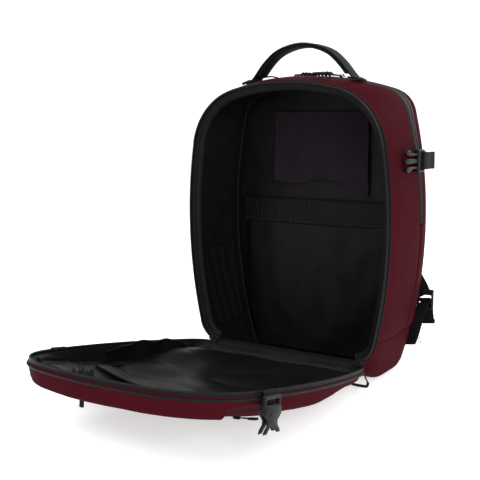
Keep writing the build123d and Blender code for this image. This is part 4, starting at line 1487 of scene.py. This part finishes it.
def make_back_panel():
    """Back panel cloth and its foam pads."""
    def slack(x, z):
        return -0.0006 * ripple((x, 0, z), 14.0, 61.0) - 0.0004
    def place(u, v):
        edge = step(0.0, 0.10, v)
        inset = 0.0005 + 0.0075 * edge
        depth = 0.1392 + 0.0026 * edge
        x, z, _, _ = outline(9.0 * u, min(depth, BACK), inset * 0.4)
        share = 1.0 if v < 0.12 else 1.0 - (v - 0.12) / 0.88 * 0.998
        return Vector((x * share, RIM_Y + depth + slack(x * share, z), 0.225 + (z - 0.225) * share))
    back = grid("back_panel_cloth", 260, 60, place, AIR_MESH, loop=True)
    back.data.flip_normals()
    finish_piece(back, "bag", "padded_mesh", "back_panel")
    for node, radius in (("back_pad_left", 0.018), ("back_pad_right", 0.018), ("lumbar_pad", 0.012)):
        low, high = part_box(node)
        slim = Vector((0.002, 0, 0.002))
        shape = rounded_rectangle(low + slim, high - slim, radius)
        pad = closed_pad(f"{node}_foam", shape, low.y + 0.0004, high.y - 0.0022, AIR_MESH)
        inflate(pad, 0.0030, 0.0050)
        rows = []
        for k in (1, 2, 3):
            z = low.z + (high.z - low.z) * k / 4
            for vertex in pad.data.vertices:
                if vertex.co.y > (low.y + high.y) / 2:
                    vertex.co.y -= 0.0030 * crease(vertex.co.z - z, 0.0030)
        piping = tube(f"{node}_piping", [Vector((x, low.y + 0.0014, z)) for x, z in
                                         rounded_rectangle(low + slim * 0.2, high - slim * 0.2, radius)],
                      0.0013, WEBBING, cyclic=True, sides=3)
        finish_piece(pad, "bag", "padded_mesh", node)
        finish_piece(piping, "bag", "webbing")


def make_luggage_sleeve():
    """Webbing sleeve across the back for a trolley handle, and the hang loop."""
    low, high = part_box("luggage_sleeve")
    def place(u, v):
        x = low.x + (high.x - low.x) * u
        edge = min(u, 1 - u)
        rise = 0.0088 * step(0.0, 0.05, edge) + 0.0009 * sin(u * pi)
        rise -= 0.0006 * crease(min(v, 1 - v), 0.03)
        return Vector((x, low.y + 0.0004 + rise - 0.0010, low.z + (high.z - low.z) * v))
    cloth = thicken(grid("sleeve_cloth", 120, 20, place, LINING), 0.0012, 0.0)
    hems = [tube("hem", [place(i / 16, v) + Vector((0, 0.0003, 0)) for i in range(17)], 0.0010, WEBBING)
            for v in (0.0, 1.0)]
    sewn = []
    for u in (0.012, 0.988):
        sewn += stitch_box(place(u, 0.5) + Vector((0, 0.0012, 0)), (0, 0, 1), (1, 0, 0), (0, 1, 0), 0.050,
                           0.004)
    joined = join("luggage_sleeve_band", [finalise(cloth)] + hems + sewn)
    finish_piece(joined, "bag", "lining_fabric", "luggage_sleeve")
    low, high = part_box("hang_loop")
    y, z = low.y, high.z - 0.008
    loop = ribbon("loop", [(-0.0160, y + 0.0012, z), (-0.0180, y + 0.006, z), (-0.012, y + 0.0125, z),
                           (0, y + 0.0138, z),
                           (0.012, y + 0.0125, z), (0.0180, y + 0.006, z), (0.0160, y + 0.0012, z)],
                  (0, 0, 1), 0.014, 0.0016, WEBBING_Z, steps=10)
    yoke = ribbon("yoke", [(low.x, y + 0.0024, low.z + 0.006), (low.x * 0.5, y + 0.0032, low.z + 0.0062),
                           (0, y + 0.0034, low.z + 0.0062), (high.x * 0.5, y + 0.0032, low.z + 0.0062),
                           (high.x, y + 0.0024, low.z + 0.006)], (0, 0, 1), 0.022, 0.0030, WEBBING_Z)
    root = ribbon("root", [(-0.021, y + 0.0010, z), (0, y + 0.0012, z), (0.021, y + 0.0010, z)],
                  (0, 0, 1), 0.015, 0.0016, WEBBING_Z)
    sewn = stitch_box(Vector((0, y + 0.0052, low.z + 0.0062)), (1, 0, 0), (0, 0, 1), (0, 1, 0), 0.036,
                      0.008)
    joined = join("hang_loop_web", [loop, yoke, root] + sewn)
    finish_piece(joined, "bag", "webbing", "hang_loop")


SPINE = ((0.058, 0.428), (0.066, 0.385), (0.076, 0.335), (0.090, 0.285), (0.106, 0.236), (0.122, 0.190),
         (0.136, 0.152))
SPINE_HALF = (0.027, 0.030, 0.031, 0.031, 0.029, 0.026, 0.019)


def spine_outline():
    """Anticlockwise outline of a shoulder pad in X and Z."""
    right_edge, left_edge = [], []
    for i, ((x, z), half) in enumerate(zip(SPINE, SPINE_HALF)):
        ahead = Vector(SPINE[min(i + 1, len(SPINE) - 1)]) - Vector(SPINE[max(i - 1, 0)])
        ahead.normalize()
        right_edge.append((x - ahead.y * half, z + ahead.x * half))
        left_edge.append((x + ahead.y * half, z - ahead.x * half))
    def smooth(points):
        result = []
        for a, b in zip(points, points[1:]):
            result += [a, ((a[0] * 2 + b[0]) / 3, (a[1] * 2 + b[1]) / 3),
                       ((a[0] + b[0] * 2) / 3, (a[1] + b[1] * 2) / 3)]
        return result + [points[-1]]
    return smooth(right_edge[::-1]) + smooth(left_edge)


def make_shoulder_straps():
    """Padded shoulder straps with edge binding, adjusters and webbing."""
    low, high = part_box("shoulder_pad_right")
    shape = spine_outline()
    pad = closed_pad("shoulder_pad_foam", shape, low.y + 0.0012, high.y - 0.0018, AIR_MESH)
    inflate(pad, 0.0030, 0.0055)
    mid_y = (low.y + high.y) / 2
    binding = tube("binding", [Vector((x, mid_y, z)) for x, z in shape], 0.0020, ZIP_TAPE, cyclic=True,
                   sides=3)
    line = [(x, high.y + 0.0012, z) for x, z in SPINE]
    web = ribbon("pad_web", line, (1, 0, 0.25), 0.0200, 0.0016, WEBBING_Z)
    sewn = []
    for k in (1, 3, 5):
        x, z = SPINE[k]
        sewn += stitch_box(Vector((x, high.y + 0.0022, z)), (1, 0, 0.25), (-0.25, 0, 1), (0, 1, 0), 0.014,
                           0.006)
    trim = join("pad_trim", [binding, web] + sewn)
    for side, label in ((1, "right"), (-1, "left")):
        copy = pad if side == 1 else mirrored(pad, "shoulder_pad_foam_left")
        copy.name = f"shoulder_pad_foam_{label}"
        finish_piece(copy, f"shoulder_strap_{label}", "padded_mesh", f"shoulder_pad_{label}")
        extra = trim if side == 1 else mirrored(trim, "shoulder_trim_left")
        extra.name = f"shoulder_trim_{label}"
        finish_piece(extra, f"shoulder_strap_{label}", "webbing")
    make_adjusters(high.y)
    make_chest_straps()


def make_adjusters(pad_y):
    """Ladder-lock adjusters with their webbing, at the straps' lower ends."""
    low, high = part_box("strap_adjuster_right")
    y = (low.y + high.y) / 2
    place = axes_matrix((0.161, y, 0.108), (1, 0, 0), (0, 0, 1))
    lock = frame_plate("ladder_lock", (-0.0135, -0.0160, 0.0135, 0.0160),
                       [(-0.0105, -0.0095, 0.0105, -0.0040), (-0.0105, 0.0015, 0.0105, 0.0070)],
                       0.0058, place, PLASTIC, 0.0014)
    tongue = ribbon("tongue", [(0.137, y, 0.152), (0.142, y + 0.001, 0.143), (0.151, y + 0.0022, 0.129),
                               (0.158, y + 0.0005, 0.117), (0.157, y - 0.0028, 0.112),
                               (0.148, y - 0.0026, 0.126),
                               (0.140, y - 0.0012, 0.142)], (1, 0, 0.55), 0.024, 0.0018, WEBBING_Z)
    tail = ribbon("tail", [(0.160, y - 0.0015, 0.110), (0.161, y + 0.0036, 0.105),
                           (0.1625, y + 0.0040, 0.098),
                           (0.164, y + 0.0026, 0.088), (0.1660, y + 0.0015, 0.078),
                           (0.1670, y + 0.0005, 0.070)],
                  (1, 0, 0.12), 0.0195, 0.0016, WEBBING_Z)
    curl = ribbon("fold", [(0.1668, y + 0.0005, 0.0705), (0.1672, y + 0.0032, 0.0695),
                           (0.1668, y + 0.0040, 0.076)],
                  (1, 0, 0.12), 0.0195, 0.0014, WEBBING_Z)
    piece = join("adjuster", [lock, tongue, tail, curl])
    pair(piece, "strap_adjuster_lock", "shoulder_strap", "buckle_plastic", "strap_adjuster")
    low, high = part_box("strap_webbing_right")
    wy = (low.y + high.y) / 2
    path = [(0.142, wy - 0.006, 0.036), (0.1440, wy - 0.001, 0.044), (0.148, wy, 0.060), (0.153, wy, 0.080),
            (0.158, wy + 0.001, 0.094), (0.1608, wy + 0.003, 0.104)]
    web = ribbon("lower_web", path, (1, 0, 0.14), 0.0200, 0.0017, WEBBING_Z, steps=10)
    sewn = stitch_box(Vector((0.1508, wy + 0.0004, 0.043)), (1, 0, 0.1), (-0.1, 0, 1), (0, 1, 0), 0.014,
                      0.008)
    web = join("lower", [web] + sewn)
    twin = mirrored(web, "strap_lower_web_left")
    web.name = "strap_lower_web_right"
    for obj, side, label in ((web, 1, "right"), (twin, -1, "left")):
        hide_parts(f"strap_webbing_{label}")
        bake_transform(obj)


def make_chest_straps():
    """Two halves of the chest strap with their clips."""
    low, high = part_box("chest_strap_right")
    z = (low.z + high.z) / 2
    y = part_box("shoulder_pad_right")[1].y + 0.0044
    web = ribbon("chest_web", [(high.x - 0.003, y, z + 0.001), (0.070, y, z), (0.046, y + 0.0006, z),
                               (0.028, y + 0.0012, z)],
                 (0, 0, 1), 0.0190, 0.0016, WEBBING_Z)
    bar = axes_matrix((0.076, y + 0.0006, z), (1, 0, 0), (0, 0, 1))
    keeper = frame_plate("keeper", (-0.006, -0.0135, 0.006, 0.0135), [(-0.0036, -0.0105, 0.0036, 0.0105)],
                         0.0044, bar, PLASTIC, 0.0009)
    clip_place = axes_matrix((0.025, y + 0.0008, z), (1, 0, 0), (0, 0, 1))
    clip = frame_plate("clip", (-0.0065, -0.0125, 0.0080, 0.0125), [(0.0030, -0.0098, 0.0062, 0.0098)],
                       0.0050, clip_place, PLASTIC, 0.0012)
    piece = join("chest", [web, keeper, clip])
    pair(piece, "chest_strap_half", "chest_strap", "webbing", "chest_strap")


def finish_carried_nodes():
    """Give the CAD pieces that stay visible their procedural finish."""
    foam = bpy.data.objects.get("laptop_sleeve_pad")
    for obj in bpy.data.objects:
        if "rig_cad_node" in obj and not obj.hide_render:
            obj.data.materials.clear()
            obj.data.materials.append(LINING)
    return foam


# ---- Studio -------------------------------------------------------------------
def make_stage():
    """Pale floor that curves up behind, world and lights."""
    def place(u, v):
        x = (u - 0.5) * 16.0
        y = -7.0 + 14.0 * v
        rise = max(0.0, y - 3.0)
        return Vector((x, y, 0.35 * rise * rise))
    material, nodes, links, principled = shader("studio_floor", 0.9, 0.0, 0.1)
    coords = nodes.new("ShaderNodeTexCoord").outputs["Object"]
    faint = noise_node(nodes, links, coords, 3.0)
    links.new(ramp_node(nodes, links, faint, (0.86, 0.86, 0.86), (0.90, 0.90, 0.90)),
              principled.inputs["Base Color"])
    principled.inputs["Emission Color"].default_value = (1, 1, 1, 1)
    principled.inputs["Emission Strength"].default_value = 0.55
    floor = grid("studio_floor", 8, 40, place, material)
    floor.location.z = -0.0002
    world = bpy.data.worlds.new("studio")
    bpy.context.scene.world = world
    world.use_nodes = True
    world.node_tree.nodes["Background"].inputs[0].default_value = (1, 1, 1, 1)
    world.node_tree.nodes["Background"].inputs[1].default_value = 0.50
    lamps = (
        ("key", (-1.3, -2.0, 2.3), 1.6, 46.0),
        ("fill", (2.4, -1.9, 1.1), 1.4, 58.0),
        ("top", (0.1, -0.1, 2.8), 1.8, 24.0),
        ("rim", (1.0, 2.2, 1.8), 1.4, 26.0),
    )
    for name, place_at, size, power in lamps:
        data = bpy.data.lights.new(name, "AREA")
        data.size = size
        data.energy = power
        lamp = bpy.data.objects.new(name, data)
        lamp.location = place_at
        aim = Vector((0, -0.15, 0.2)) - Vector(place_at)
        lamp.rotation_euler = aim.to_track_quat("-Z", "Y").to_euler()
        bpy.context.scene.collection.objects.link(lamp)


def make_camera():
    """Camera at the left front, a little above the bag's middle."""
    azimuth, elevation, distance = radians(33.013), radians(7.648), 1.27
    target = Vector((0, RIM_Y, 0.2046))
    forward = Vector((-sin(azimuth) * cos(elevation), cos(azimuth) * cos(elevation), -sin(elevation)))
    data = bpy.data.cameras.new("camera")
    data.sensor_width = 36.0
    data.lens = 36.0 * 850.191 / 480.0
    data.shift_x = -(283.686 - 240.0) / 480.0
    data.shift_y = (241.608 - 240.0) / 480.0
    camera = bpy.data.objects.new("camera", data)
    camera.location = target - forward * distance
    camera.rotation_euler = forward.to_track_quat("-Z", "Y").to_euler()
    bpy.context.scene.collection.objects.link(camera)
    bpy.context.scene.camera = camera
    bpy.context.scene.view_settings.view_transform = "Standard"


make_stage()
make_camera()
make_gussets()
make_main_zip(door=False)
make_main_zip(door=True)
make_hinge_cloth()
make_lining()
make_divider()
make_slip_pocket()
make_hanging_flap()
make_wall_pocket()
make_front_shell()
make_front_lining()
make_front_pocket()
make_front_flap()
make_pull_tip()
make_pocket_zips()
make_handle()
make_side_plugs()
make_sockets()
make_main_sliders()
make_laptop_zip()
make_laptop_pulls()
make_pocket_pulls()
make_back_panel()
make_luggage_sleeve()
make_shoulder_straps()
finish_carried_nodes()
